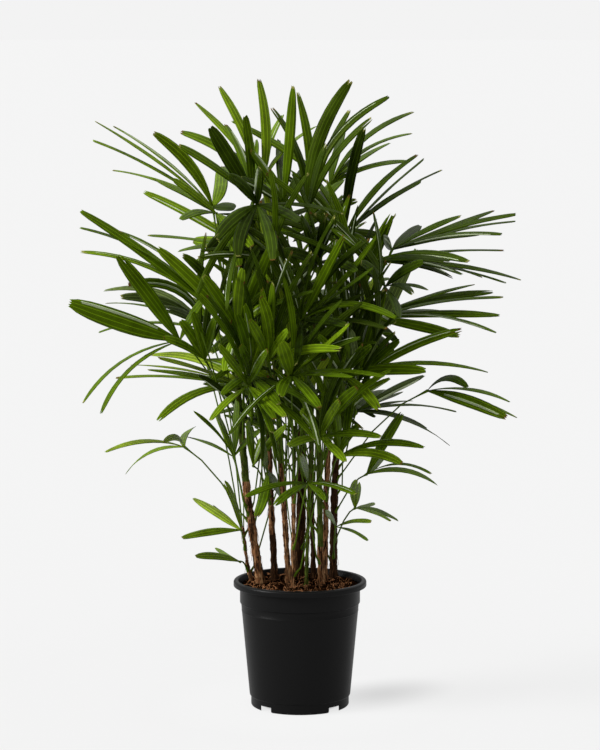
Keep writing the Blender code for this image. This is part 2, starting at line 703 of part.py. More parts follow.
def front_leaflets(frond, depth, number, heading, length, shown, arch):
    """One leaflet of the plan with its tip on its line of sight, at one depth after another."""
    turn = math.radians(heading)
    across = frond.hub[0] + length * math.cos(turn)
    up = frond.hub[1] + length * math.sin(turn)
    hub = seen(frond.hub[0], frond.hub[1], depth)
    upper_side = math.copysign(1.0, math.cos(turn))
    bow = Vector((-math.sin(turn), 0.0, math.cos(turn))) * upper_side * length * arch / 100.0
    ease = EASE_LEVEL + EASE_RANGE * math.sin(turn)
    breadth = max(LEAFLET_BREADTH, LEAFLET_BREADTH_SPARE * shown)
    hidden = math.sqrt(max(0.0, LEAFLET_REACH ** 2 - length ** 2)) * LEAFLET_DEPTH_SHARE
    side = -1.0 if depth < -NEAR_DEPTH else 1.0
    if abs(depth) <= NEAR_DEPTH:
        side = 1.0 if number % 2 else -1.0
    for move in DEPTH_TRIES:
        tip_depth = depth + side * hidden + move
        tip = seen(across, up, min(max(tip_depth, -DEEPEST), DEEPEST))
        facing = facing_for_width(tip - hub, shown, breadth)
        yield Leaflet(hub, tip, bow, ease, facing, breadth)


def inner_leaflets(frond, chance):
    """Leaflets that fill a frond up where the crown's core hides them, as rows of the plan."""
    for _ in range(INNER_TRIES):
        heading = chance.uniform(-90.0, 270.0)
        length = chance.uniform(*INNER_LENGTHS)
        turn = math.radians(heading)
        across = frond.hub[0] + length * math.cos(turn)
        up = frond.hub[1] + length * math.sin(turn)
        if in_core(across, up):
            yield heading, length, chance.uniform(*INNER_WIDTHS), INNER_ARCH


def place_front_frond(room, frond):
    """Find room for a frond's hub and stalk, and return the hub, its depth and the stalk's shape."""
    cane = CANES[frond.cane - 1]
    cane_name = "cane_%02d" % frond.cane
    for move in HUB_TRIES:
        depth = frond.depth + move
        hub = seen(frond.hub[0], frond.hub[1], depth)
        if not room.is_free(frond.name, grown_box(hub, HUB_RADIUS + ROOM)):
            continue
        stalk, _ = place_stalk(room, frond.name, cane_name, cane, frond.foot, hub)
        if stalk is not None:
            return hub, depth, stalk
    return None, None, None


def add_planned_leaflets(room, placed):
    """Place the leaflets of the whole plan, the longest first, and return each frond's shapes."""
    order = []
    for frond, depth in placed:
        for number, row in enumerate(frond.leaflets):
            order.append((row[1], frond, depth, number, row))
    order.sort(key=lambda item: -item[0])
    shapes = {frond.name: [] for frond, depth in placed}
    for _, frond, depth, number, row in order:
        found = place_leaflet(room, frond.name, front_leaflets(frond, depth, number, *row))
        if found is not None:
            shapes[frond.name].append(found)
    return shapes


def add_inner_leaflets(room, frond, depth, missing, chance):
    """Leaflets that the core hides, until the frond is full or the tries are used up."""
    shapes = []
    for number, row in enumerate(inner_leaflets(frond, chance)):
        if len(shapes) >= missing:
            break
        found = place_leaflet(room, frond.name, front_leaflets(frond, depth, number, *row))
        if found is not None:
            shapes.append(found)
    return shapes


def in_core(across, up):
    """Whether a place of the plan lies in the dense middle of the crown."""
    x = (across - CORE_CENTRE[0]) / CORE_HALF[0]
    z = (up - CORE_CENTRE[1]) / CORE_HALF[1]
    return x * x + z * z < 1.0


def point_in_core(point):
    """Whether the viewer sees a point within the dense middle of the crown."""
    scale = -EYE.y / (point.y - EYE.y)
    return in_core((point.x - EYE.x) * scale, EYE.z + (point.z - EYE.z) * scale)


def back_fan(turn, pitch, chance):
    """The directions, lengths and common facing of a fan that leans out from the plant's axis."""
    level = Vector((math.cos(turn), math.sin(turn), 0.0))
    forward = level * math.cos(pitch) + Vector((0.0, 0.0, math.sin(pitch)))
    aside = Vector((-math.sin(turn), math.cos(turn), 0.0))
    facing = forward.cross(aside)
    for number in range(BACK_LEAFLETS):
        angle = math.radians(BACK_SPREAD * (2.0 * number / (BACK_LEAFLETS - 1) - 1.0))
        angle += math.radians(chance.uniform(-BACK_SPREAD_SPARE, BACK_SPREAD_SPARE))
        length = BACK_REACH * (BACK_SIDE_SHARE + (1.0 - BACK_SIDE_SHARE) * math.cos(angle))
        length *= chance.uniform(*BACK_LENGTH_SHARES)
        way = forward * math.cos(angle) + aside * math.sin(angle)
        way.z -= BACK_DROOP * abs(math.sin(angle))
        yield way.normalized(), length, facing


def back_leaflets(hub, way, length, facing):
    """Places for one leaflet of the back that stay in the core, the longest first."""
    for share in BACK_SHORTER:
        for sway in BACK_SWAYS:
            tip = hub + (way + Vector((0.0, 0.0, sway))).normalized() * length * share
            if point_in_core(tip):
                bow = Vector((0.0, 0.0, BACK_ARCH * length * share))
                yield Leaflet(hub, tip, bow, 1.0, facing, BACK_BREADTH)


def back_hub(turn, tier, chance):
    """A hub of one tier of the back, with the direction and the pitch of its fan."""
    height, reach, pitch = BACK_TIERS[tier]
    around = turn + math.radians(chance.uniform(-BACK_TURN_SPARE, BACK_TURN_SPARE))
    hub = Vector((math.cos(around), math.sin(around), 0.0)) * reach
    hub *= chance.uniform(*BACK_REACH_SHARES)
    hub.z = height + chance.uniform(-BACK_HEIGHT_SPARE, BACK_HEIGHT_SPARE)
    return hub, around, math.radians(pitch)


def place_back_stalks(room, number, chance):
    """One thin shoot behind the canes with a hub on each of its tiers."""
    name = "frond_group_back_%02d" % (number + 1)
    cane_number = BACK_CANES[number]
    cane = CANES[cane_number - 1]
    highest = len(BACK_TIERS) - 1
    for move in BACK_TURN_TRIES:
        turn = math.radians(BACK_TURNS[number] + move)
        hub, around, pitch = back_hub(turn, highest, chance)
        stalk, main_path = place_stalk(room, name, "cane_%02d" % cane_number, cane, BACK_FOOT, hub)
        if stalk is not None:
            break
    if stalk is None:
        return name, [], []
    shapes = [stalk, hub_shape(hub)]
    fans = [(hub, around, pitch)]
    for tier in reversed(range(highest)):
        hub, around, pitch = back_hub(turn, tier, chance)
        start = main_path[1].lerp(main_path[2], BRANCH_LOW + BRANCH_STEP * tier)
        rise = BRANCH_RISE * (hub - start).length
        middle = start.lerp(hub, 0.5) + Vector((0.0, 0.0, rise))
        path = [curve_point(start, middle, hub, share) for share in STALK_STATIONS]
        if room.is_free(name, tube(path, [STALK_RADIUS + 2.0 * ROOM] * len(path), 3)):
            shapes += [tube(path, [STALK_RADIUS] * len(path), 3), hub_shape(hub)]
            fans.append((hub, around, pitch))
    for shape in shapes:
        room.add(name, shape)
    return name, shapes, fans


def add_back_leaflets(room, name, fans, chance):
    """The leaflets of every fan of one group at the back."""
    shapes = []
    for hub, around, pitch in fans:
        for direction, length, facing in back_fan(around, pitch, chance):
            found = place_leaflet(room, name, back_leaflets(hub, direction, length, facing))
            if found is not None:
                shapes.append(found)
    return shapes


def union_of(name, shapes, material, solver):
    """Join shapes into one object with a single union, and remove the helpers."""
    joined = add_object(name, shapes[0], material)
    helpers = bpy.data.collections.new("helpers")
    bpy.context.scene.collection.children.link(helpers)
    for shape in shapes[1:]:
        helper = add_object("helper", shape, material)
        bpy.context.scene.collection.objects.unlink(helper)
        helpers.objects.link(helper)
        helper.hide_render = True
        helper.display_type = "WIRE"
    union = joined.modifiers.new("union", "BOOLEAN")
    union.operation = "UNION"
    union.solver = solver
    union.operand_type = "COLLECTION"
    union.collection = helpers
    bake(joined)
    for helper in list(helpers.objects):
        bpy.data.objects.remove(helper, do_unlink=True)
    bpy.data.collections.remove(helpers)
    return joined


def drop_scraps(made):
    """Keep the largest connected piece of a mesh. Tells whether it is closed."""
    shape = bmesh.new()
    shape.from_mesh(made.data)
    bmesh.ops.remove_doubles(shape, verts=shape.verts, dist=1e-7)
    left = set(shape.verts)
    islands = []
    while left:
        stack = [left.pop()]
        island = set(stack)
        while stack:
            for edge in stack.pop().link_edges:
                for vert in edge.verts:
                    if vert in left:
                        left.remove(vert)
                        island.add(vert)
                        stack.append(vert)
        islands.append(island)
    islands.sort(key=len)
    for island in islands[:-1]:
        bmesh.ops.delete(shape, geom=list(island), context="VERTS")
    closed = all(edge.is_manifold for edge in shape.edges)
    shape.to_mesh(made.data)
    shape.free()
    return closed


def join_shapes(name, shapes, material):
    """One closed solid of all the shapes, with fewer leaflets where a union fails twice."""
    while shapes:
        for solver in ("EXACT", "MANIFOLD"):
            made = union_of(name, shapes, material, solver)
            if drop_scraps(made):
                return made
            bpy.data.objects.remove(made, do_unlink=True)
        shapes = shapes[:-1]
    return None


def main():
    clear_objects()
    chance = random.Random(BACK_SEED)
    pot_material = plain_material("pot", (0.012, 0.012, 0.013), 0.42)
    soil_material = plain_material("soil", (0.10, 0.045, 0.022), 0.95)
    cane_material = plain_material("cane", (0.12, 0.07, 0.035), 0.85)
    leaf_material = plain_material("frond", (0.07, 0.16, 0.02), 0.45)

    make_pot(pot_material)
    make_soil(soil_material)
    room = Room()
    outer, inner = pot_profile()
    room.add("pot", turned(outer + inner, POT_SIDES))

    for number, cane in enumerate(CANES):
        name = "cane_%02d" % (number + 1)
        shape = cane_shape(cane)
        add_object(name, shape, cane_material)
        room.add(name, shape)

    placed = []
    bodies = {}
    for frond in FRONDS:
        hub, depth, stalk = place_front_frond(room, frond)
        if hub is None:
            continue
        bodies[frond.name] = [hub_shape(hub), stalk]
        for shape in bodies[frond.name]:
            room.add(frond.name, shape)
        placed.append((frond, depth))
    groups = []
    for number in range(len(BACK_CANES)):
        name, shapes, fans = place_back_stalks(room, number, chance)
        if not shapes:
            continue
        bodies[name] = shapes
        groups.append((name, fans))

    planned = add_planned_leaflets(room, placed)
    for name, fans in groups:
        bodies[name] += add_back_leaflets(room, name, fans, chance)
    for frond, depth in placed:
        leaflets = planned[frond.name]
        if len(leaflets) < FULL_FROND and in_core(*frond.hub):
            missing = FULL_FROND - len(leaflets)
            leaflets += add_inner_leaflets(room, frond, depth, missing, chance)
        bodies[frond.name] += leaflets
    for name, shapes in bodies.items():
        join_shapes(name, shapes, leaf_material)


main()
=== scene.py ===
"""Lady palm in a black nursery pot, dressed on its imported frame.

The crown follows the plan and the rule of the solids: canes, stalks and leaflets stand where the
solids stand, and the leaflets are drawn with their pleats, blunt toothed ends and dry tips. Lengths in
the plan are in millimetres, angles in degrees, and the finished pieces are in metres.
"""

import math
import random
from collections import namedtuple

import bmesh
import bpy
from bpy.props import FloatProperty, FloatVectorProperty, PointerProperty
from bpy.types import Operator, Panel, PropertyGroup
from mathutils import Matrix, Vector, noise
from mathutils.bvhtree import BVHTree


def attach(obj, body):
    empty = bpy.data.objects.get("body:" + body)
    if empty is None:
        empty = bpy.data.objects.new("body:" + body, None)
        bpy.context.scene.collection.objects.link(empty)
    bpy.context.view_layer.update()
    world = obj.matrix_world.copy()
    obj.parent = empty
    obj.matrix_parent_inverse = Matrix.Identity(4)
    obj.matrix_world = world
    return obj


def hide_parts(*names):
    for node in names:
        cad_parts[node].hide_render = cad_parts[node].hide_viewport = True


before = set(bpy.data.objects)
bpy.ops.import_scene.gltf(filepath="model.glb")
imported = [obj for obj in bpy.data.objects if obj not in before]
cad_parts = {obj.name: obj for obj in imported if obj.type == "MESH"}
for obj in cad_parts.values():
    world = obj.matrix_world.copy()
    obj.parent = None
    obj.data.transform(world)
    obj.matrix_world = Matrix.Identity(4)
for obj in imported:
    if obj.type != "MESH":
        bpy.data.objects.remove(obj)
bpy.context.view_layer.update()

bl_info = {
    "name": "Lady palm in a nursery pot",
    "version": (1, 0, 0),
    "blender": (4, 5, 0),
    "location": "View3D > Sidebar > Lady palm",
    "description": "Dresses the frame of a potted lady palm with leaflets, canes, soil and pot",
    "category": "Add Mesh",
}

MM = 0.001

# Pot: outer radii and heights
POT_HEIGHT = 230.0
LIP_RADIUS = 120.0
COLLAR_RADIUS = 108.5
COLLAR_BOTTOM = 190.0
COLLAR_STEP = 2.0
BODY_TOP_RADIUS = 106.4
BODY_BOTTOM_RADIUS = 91.3
FOOT_RADIUS = 88.6
FOOT_HEIGHT = 17.0
WALL = 1.8
FOOT_TOP = 15.5
BODY_BOTTOM = 18.0
FOOT_WALL = 3.0
NOTCH_WIDTH = 28.0
NOTCH_TURN = 45.0
NOTCH_HEIGHT = 10.0
LIP_DROP = 11.0
LIP_INNER_RADIUS = 111.0
RING_HEIGHT = 175.0

# Soil
SOIL_LEVEL = 219.0

# Clearances between pieces: at a seat, and on every side of a leaflet
SEAT_GAP = 0.3
ROOM = 0.6
SEAT_LEVEL = SOIL_LEVEL + SEAT_GAP

# Canes
CANE_SIDES = 8
CANE_STATIONS = (0.0, 0.05, 0.35, 0.7, 0.97, 1.0)
CANE_FLARE = 1.3
CANE_TIP_SHARE = 0.55

# Stalks of the fronds
STALK_RADIUS = 2.5
STALK_STATIONS = (0.0, 0.35, 0.7, 1.0)
STALK_STEP = 9.0
STALK_RISE_SHARE = 0.28
STALK_LOWEST = 20.0
STALK_BELOW_TIP = 12.0
HUB_RADIUS = 5.0

# Leaflets
LEAFLET_REACH = 235.0
LEAFLET_BREADTH = 22.0
LEAFLET_BREADTH_SPARE = 1.04
LEAFLET_THICKNESS_SHARE = 0.011
LEAFLET_OUTLINE = ((0.0, 0.13), (0.3, 0.7), (0.68, 1.0), (1.0, 0.36))
LEAFLET_DEPTH_SHARE = 0.6
NEAR_DEPTH = 45.0
DEEPEST = 322.0
EASE_LEVEL = 1.1
EASE_RANGE = 0.35

# The plan of the front is laid out as a standing viewer sees it, on the upright plane through the
# pot's axis. A piece before or behind that plane lies on the same line of sight.
EYE = Vector((0.0, -5000.0, 1200.0))
TO_VIEWER = Vector((0.0, -1.0, 0.0))
CAMERA_TILT = 83.174
CAMERA_LENS = 135.02
CAMERA_SENSOR = 36.0
CAMERA_REACH = 5000.0

Cane = namedtuple("Cane", "foot top radius tip_radius bow")
Frond = namedtuple("Frond", "name cane foot depth hub leaflets")
Leaflet = namedtuple("Leaflet", "hub tip bow ease facing breadth")

# Each cane: foot (x, y), tip (x, y, z), foot and tip radius, sideways bow
CANES = (
    Cane((-89, 30), (-103, 24, 322), 4.0, 3.0, (-2, 0)),
    Cane((-71, 12), (-114, -4, 690), 8.2, 5.4, (-10, 0)),
    Cane((-46, 52), (-60, 40, 730), 6.4, 4.6, (-4, 0)),
    Cane((-20, 8), (-46, -24, 640), 5.6, 4.2, (0, 0)),
    Cane((-13, -36), (-10, -74, 520), 4.4, 3.6, (0, 0)),
    Cane((-2, 84), (4, 70, 760), 9.4, 6.0, (4, 0)),
    Cane((11, -16), (20, -52, 520), 3.8, 3.2, (0, 0)),
    Cane((25, 56), (24, 44, 740), 4.6, 4.0, (-4, 0)),
    Cane((45, 36), (64, 6, 650), 5.4, 4.4, (-5, 0)),
    Cane((38, -4), (32, -16, 560), 6.2, 4.8, (0, 0)),
    Cane((61, 60), (86, 30, 700), 7.2, 5.0, (-8, 0)),
)

# Each frond: its cane, the stalk's foot height, the hub's depth, the hub (across, up), and for every
# leaflet its heading from level right, its length, its width as seen from the front, and its arch in
# percent of the length
FRONDS = (
    Frond("frond_top_01", 3, 680, -40, (-85, 920), (
        (121, 146, 27, 1), (110, 137, 14, 5), (95, 146, 16, 1), (134, 76, 13, 2), (145, 160, 13, 4),
        (86, 101, 14, 0))),
    Frond("frond_top_02", 6, 700, 60, (-67, 945), (
        (92, 184, 18, 5), (114, 188, 16, 4), (130, 186, 11, 5), (148, 171, 18, 7), (73, 126, 13, 8),
        (46, 139, 7, 10))),
    Frond("frond_top_03", 6, 680, 20, (-30, 906), (
        (85, 213, 18, 0), (57, 116, 14, 3), (121, 114, 14, 3), (94, 116, 16, 2), (148, 90, 16, 5))),
    Frond("frond_top_04", 8, 680, -20, (14, 890), (
        (72, 249, 24, 8), (95, 217, 16, 5), (55, 254, 14, 14), (68, 199, 11, 5), (56, 205, 11, 8),
        (109, 199, 13, 9), (75, 129, 11, 4), (97, 79, 18, 2))),
    Frond("frond_top_05", 9, 700, 70, (53, 941), (
        (41, 197, 9, 11), (32, 172, 7, 12), (35, 130, 9, 6), (17, 145, 9, 8), (147, 209, 13, 5),
        (75, 101, 14, 3))),
    Frond("frond_top_06", 11, 645, 40, (80, 852), (
        (80, 196, 18, 3), (48, 193, 11, 7), (44, 196, 4, 2), (34, 208, 5, 5), (35, 167, 9, 4),
        (121, 93, 16, 4))),
    Frond("frond_top_07", 3, 665, -110, (-76, 906), (
        (85, 68, 16, 2), (134, 74, 18, 4), (-75, 105, 22, 8), (250, 100, 22, 8), (-22, 82, 18, 8),
        (220, 97, 22, 8))),
    Frond("frond_top_08", 4, 610, -90, (32, 804), (
        (67, 85, 18, 6), (81, 88, 14, 3), (111, 90, 14, 3), (229, 90, 16, 8), (-14, 72, 16, 8),
        (161, 64, 18, 5))),
    Frond("frond_left_01", 2, 665, 30, (-155, 902), (
        (144, 259, 5, 3), (141, 228, 5, 5), (151, 244, 5, 4), (160, 190, 5, 6), (129, 170, 20, 9),
        (80, 72, 25, -12), (-2, 41, 16, 4))),
    Frond("frond_left_02", 2, 645, -60, (-148, 890), (
        (142, 99, 13, 2), (151, 132, 7, 1), (190, 66, 11, 14), (-43, 87, 22, 6), (-67, 104, 22, 6),
        (-36, 122, 5, 2))),
    Frond("frond_left_03", 6, 590, 90, (-101, 831), (
        (151, 203, 16, 2), (173, 172, 5, 2), (173, 90, 25, 3), (184, 116, 9, 6), (199, 100, 11, 5),
        (50, 75, 14, 5), (-60, 89, 18, 8))),
    Frond("frond_left_04", 2, 555, -30, (-152, 715), (
        (143, 301, 18, 2), (148, 284, 5, 9), (140, 226, 5, 9), (156, 263, 9, 10), (120, 118, 16, 12),
        (33, 66, 16, 6))),
    Frond("frond_left_05", 3, 555, -120, (-111, 681), (
        (68, 176, 20, 1), (85, 113, 22, 4), (122, 118, 20, 3), (134, 208, 22, 3), (44, 65, 16, 3),
        (252, 77, 16, 5))),
    Frond("frond_left_06", 2, 520, -80, (-215, 663), (
        (161, 211, 36, 0), (126, 191, 27, 2), (213, 209, 5, 12), (223, 195, 7, 12), (59, 86, 14, 5),
        (-17, 67, 16, 5))),
    Frond("frond_left_07", 2, 540, 40, (-166, 681), (
        (150, 165, 16, 22), (159, 198, 11, 18), (159, 168, 18, 12), (165, 188, 4, 9), (152, 89, 14, 8),
        (181, 195, 5, 9))),
    Frond("frond_left_08", 2, 500, -60, (-170, 629), (
        (122, 84, 18, 3), (152, 85, 14, 4), (76, 78, 16, 3), (-20, 63, 16, 6), (105, 89, 16, 3))),
    Frond("frond_left_09", 2, 475, -20, (-102, 580), (
        (161, 162, 7, 3), (161, 175, 14, 13), (170, 174, 7, 2), (176, 230, 5, 4), (169, 206, 3, 5),
        (182, 142, 7, 3), (202, 167, 14, 13))),
    Frond("frond_left_10", 2, 365, -30, (-119, 453), (
        (131, 110, 5, 5), (111, 88, 11, 2), (86, 104, 13, 1), (157, 93, 5, 8), (44, 70, 11, 5))),
    Frond("frond_left_11", 2, 340, 20, (-207, 471), (
        (184, 144, 7, 10), (205, 117, 5, 16), (167, 40, 11, 35), (63, 41, 11, 25))),
    Frond("frond_left_12", 1, 285, -20, (-106, 320), (
        (109, 94, 11, 3), (146, 104, 14, 3), (188, 109, 13, 3), (138, 68, 5, 3))),
    Frond("frond_left_13", 1, 245, 0, (-108, 262), (
        (173, 82, 13, 5), (150, 52, 7, 2))),
    Frond("frond_right_01", 11, 630, 20, (164, 826), (
        (127, 27, 14, 5), (41, 66, 18, 2), (26, 137, 9, 3), (21, 195, 9, 1), (16, 231, 9, 3),
        (13, 226, 5, 4), (8, 199, 7, 6), (10, 159, 11, 4))),
    Frond("frond_right_02", 9, 610, -40, (128, 804), (
        (0, 175, 14, 8), (5, 238, 4, 3), (0, 139, 11, 5), (-11, 147, 11, 9), (-8, 164, 7, 7),
        (-8, 200, 7, 7), (-9, 244, 4, 5), (-7, 270, 7, 5))),
    Frond("frond_right_03", 11, 555, 30, (129, 704), (
        (18, 193, 5, 3), (12, 221, 14, 4), (9, 238, 5, 4), (1, 229, 13, 3), (-7, 224, 5, 8),
        (6, 122, 5, 5), (-12, 161, 18, 1))),
    Frond("frond_right_04", 9, 485, -60, (104, 592), (
        (26, 208, 16, 6), (74, 169, 25, 2), (66, 259, 24, 2), (24, 107, 13, 5), (99, 91, 16, 2),
        (44, 104, 14, 3))),
    Frond("frond_right_05", 9, 485, -110, (77, 601), (
        (3, 151, 20, 3), (1, 261, 7, 8), (79, 57, 14, 2), (122, 85, 16, 4), (46, 75, 14, 2))),
    Frond("frond_right_06", 11, 410, -50, (228, 573), (
        (-19, 152, 22, 5), (-17, 169, 5, 5), (-8, 150, 5, 8), (4, 74, 11, 25))),
    Frond("frond_right_07", 11, 350, -20, (120, 422), (
        (60, 129, 18, 1), (-9, 128, 9, 15), (0, 117, 4, 15), (47, 47, 13, 8))),
    Frond("frond_right_08", 9, 375, -80, (68, 453), (
        (6, 157, 11, 11), (-6, 118, 16, 12), (56, 70, 14, 4), (126, 61, 14, 4))),
    Frond("frond_right_09", 11, 295, -20, (99, 360), (
        (84, 51, 20, 2), (-16, 81, 9, 8), (-20, 69, 5, 5), (14, 37, 5, 5))),
    Frond("frond_right_10", 11, 265, -60, (65, 326), (
        (8, 65, 7, 6), (-24, 63, 5, 8), (126, 34, 9, 5))),
    Frond("frond_right_11", 11, 430, 50, (100, 535), (
        (23, 92, 5, 3), (11, 104, 4, 6), (28, 139, 13, 3), (0, 181, 4, 7), (-14, 133, 9, 9),
        (-20, 180, 3, 9), (121, 57, 14, 4))),
    Frond("frond_right_12", 9, 575, -100, (152, 760), (
        (33, 82, 16, 8), (-16, 52, 9, 20), (-5, 77, 4, 10), (135, 63, 16, 5), (-67, 60, 14, 8),
        (239, 69, 18, 8))),
    Frond("frond_right_13", 9, 520, 0, (98, 726), (
        (68, 177, 22, 2), (107, 105, 18, 3), (66, 180, 4, 6), (138, 84, 16, 5), (-66, 76, 16, 5),
        (213, 53, 16, 8))),
    Frond("frond_front_01", 4, 520, -150, (2, 700), (
        (63, 171, 16, 1), (36, 161, 5, 0), (49, 221, 9, -4), (1, 171, 11, 16), (-7, 83, 16, 6),
        (264, 81, 13, 0), (110, 134, 9, 2), (106, 112, 14, 2))),
    Frond("frond_front_02", 3, 400, -40, (-59, 424), (
        (256, 84, 19, -5), (-60, 46, 13, 3), (100, 60, 11, 2))),
    Frond("frond_front_03", 5, 430, -190, (-16, 601), (
        (107, 62, 27, 2), (244, 44, 22, 8), (41, 140, 7, 0), (-1, 168, 7, 5), (-2, 111, 7, 3),
        (-49, 79, 16, 6))),
    Frond("frond_front_04", 4, 485, -170, (-57, 625), (
        (95, 133, 13, 2), (86, 144, 13, 1), (114, 83, 16, 2), (58, 68, 14, 3), (230, 56, 9, 5))),
    Frond("frond_front_05", 3, 465, -130, (-90, 601), (
        (216, 62, 16, 8), (257, 83, 16, 6), (-45, 76, 16, 8), (108, 57, 16, 2), (136, 60, 14, 3))),
    Frond("frond_front_06", 4, 465, -160, (-93, 582), (
        (223, 93, 11, 5), (126, 91, 14, 0), (61, 74, 14, 3), (-52, 78, 14, 6))),
    Frond("frond_front_07", 3, 365, -60, (-84, 437), (
        (98, 84, 13, 2), (71, 50, 11, 2), (50, 97, 13, 4))),
    Frond("frond_front_08", 5, 300, -120, (14, 406), (
        (193, 116, 9, 8), (215, 73, 13, 8), (-45, 44, 11, 8), (-14, 91, 9, 8), (106, 53, 14, 3))),
    Frond("frond_front_09", 7, 375, -150, (36, 489), (
        (0, 111, 13, 5), (126, 61, 16, 3), (62, 76, 16, 3), (196, 60, 14, 6), (-45, 64, 14, 6))),
)

# Leaflets that fill the fronds up inside the crown's core, which is an oval of the plan
CORE_CENTRE = (-8.0, 705.0)
CORE_HALF = (190.0, 280.0)
FULL_FROND = 6
INNER_TRIES = 7
INNER_LENGTHS = (80.0, 150.0)
INNER_WIDTHS = (10.0, 20.0)
INNER_ARCH = 6.0

# Fronds at the back: each group shares one thin shoot, seated on a back cane, and has a fan of
# leaflets on every tier (height, reach from the axis, pitch)
BACK_SEED = 7
BACK_CANES = (11, 8, 6, 3)
BACK_FOOT = 380.0
BACK_TURNS = (38.0, 70.0, 104.0, 142.0)
BACK_TIERS = ((520.0, 130.0, 5.0), (690.0, 145.0, 20.0), (860.0, 100.0, 45.0))
BACK_TURN_SPARE = 14.0
BACK_TURN_TRIES = (0.0, 9.0, -9.0, 18.0, -18.0)
BACK_HEIGHT_SPARE = 25.0
BACK_REACH_SHARES = (0.9, 1.1)
BACK_LEAFLETS = 6
BACK_SPREAD = 95.0
BACK_SPREAD_SPARE = 6.0
BACK_REACH = 210.0
BACK_SIDE_SHARE = 0.72
BACK_LENGTH_SHARES = (0.92, 1.08)
BACK_BREADTH = 24.0
BACK_DROOP = 0.25
BACK_ARCH = 0.08
BACK_SHORTER = (1.0, 0.85, 0.7)
BACK_SWAYS = (0.0, 0.12, -0.12, 0.24, -0.24)
BRANCH_LOW = 0.35
BRANCH_STEP = 0.3
BRANCH_RISE = 0.1

# Small moves that are tried until a piece has room, nearest first
HEIGHT_TRIES = (0, 12, -12, 24, -24, 40, -40, 60, -60, 85, -85, 110, -110, 140, -140)
DEPTH_TRIES = (0, 10, -10, 22, -22, 36, -36, 52, -52, 70, -70)
HUB_TRIES = (0, 14, -14, 30, -30)


def upright(height):
    """A step straight up."""
    return Vector((0.0, 0.0, height))


def level_way(turn):
    """The level direction at an angle round the pot's axis."""
    return Vector((math.cos(turn), math.sin(turn), 0.0))


def side_turn(side, sides):
    """How far one side of a round is turned, of this many sides."""
    return 2.0 * math.pi * side / sides


def square_to(way, along):
    """The part of a direction that is square to another, at a length of one."""
    return (way - along * way.dot(along)).normalized()


def path_way(points, place):
    """The direction of a path at one of its points."""
    return (points[min(place + 1, len(points) - 1)] - points[max(place - 1, 0)]).normalized()


def signed_volume(points, faces):
    """The volume inside a closed shape, negative where its faces point in."""
    total = 0.0
    for face in faces:
        first = points[face[0]]
        for second, third in zip(face[1:], face[2:]):
            total += first.dot(points[second].cross(points[third]))
    return total / 6.0


def outward(points, faces):
    """The same shape with its faces pointing out."""
    if signed_volume(points, faces) < 0:
        faces = [tuple(reversed(face)) for face in faces]
    return points, faces


def loft(rings):
    """Faces that join rings of equal size, with a flat face on each end."""
    size = len(rings[0])
    points = [point for ring in rings for point in ring]
    faces = [tuple(reversed(range(size)))]
    for row in range(len(rings) - 1):
        for place in range(size):
            following = (place + 1) % size
            low = row * size
            high = low + size
            faces.append((low + place, low + following, high + following, high + place))
    last = (len(rings) - 1) * size
    faces.append(tuple(range(last, last + size)))
    return outward(points, faces)


def seen(across, up, depth):
    """The point at a depth that the viewer sees at this place of the plan."""
    place = Vector((across, 0.0, up))
    return EYE + (place - EYE) * ((depth - EYE.y) / -EYE.y)


def curve_point(start, middle, end, share):
    """A point on the quadratic curve that is pulled toward its middle point."""
    rest = 1.0 - share
    return start * rest * rest + middle * 2.0 * share * rest + end * share * share


def tube(points, radii, sides, first_direction=None):
    """A tapering limb along a path. Its first cut can be square to a given direction."""
    rings = []
    aside = None
    for place, (point, radius) in enumerate(zip(points, radii)):
        along = path_way(points, place)
        if place == 0 and first_direction is not None:
            along = first_direction.normalized()
        if aside is None:
            aside = along.orthogonal()
        aside = square_to(aside, along)
        across = along.cross(aside)
        ring = []
        for corner in range(sides):
            turn = side_turn(corner, sides)
            ring.append(point + (aside * math.cos(turn) + across * math.sin(turn)) * radius)
        rings.append(ring)
    return loft(rings)


def blade_section(half, rib, grow):
    """A leaflet's section as (aside, upward) corners, or the box that keeps room round it."""
    if not grow:
        return (-half, 0.0), (half, 0.0), (0.0, rib)
    side = half + grow
    return (-side, -grow), (side, -grow), (side, grow), (0.0, rib + grow), (-side, grow)


def blade(points, facing, breadth, thickness, grow=0.0):
    """A leaflet: two thin edges and a raised rib, along an arching path."""
    rings = []
    for place, (point, (share, outline)) in enumerate(zip(points, LEAFLET_OUTLINE)):
        along = path_way(points, place)
        upward = square_to(facing, along)
        aside = upward.cross(along)
        centre = point
        if place == len(points) - 1:
            centre = point + along * grow
        section = blade_section(breadth * outline / 2.0, thickness * (1.0 - 0.5 * share), grow)
        rings.append([centre + aside * x + upward * z for x, z in section])
    return loft(rings)


class Room:
    """Keeps every placed piece and tells whether a new one would touch another node's."""

    def __init__(self):
        self.pieces = []

    def add(self, node, shape):
        """Keep a shape that belongs to a node."""
        points, faces = shape
        self.pieces.append((node, BVHTree.FromPolygons(points, faces), *extent(points)))

    def is_free(self, node, shape, skipped=()):
        """Whether a shape of one node is clear of every other node, apart from the skipped ones."""
        points, faces = shape
        low, high = extent(points)
        tree = None
        for other, other_tree, other_low, other_high in self.pieces:
            if other == node or other in skipped:
                continue
            if any(low[i] > other_high[i] or other_low[i] > high[i] for i in range(3)):
                continue
            if tree is None:
                tree = BVHTree.FromPolygons(points, faces)
            if tree.overlap(other_tree):
                return False
        return True


def extent(points):
    """The lowest and highest corner of the box round the points."""
    low = tuple(min(point[i] for point in points) for i in range(3))
    high = tuple(max(point[i] for point in points) for i in range(3))
    return low, high


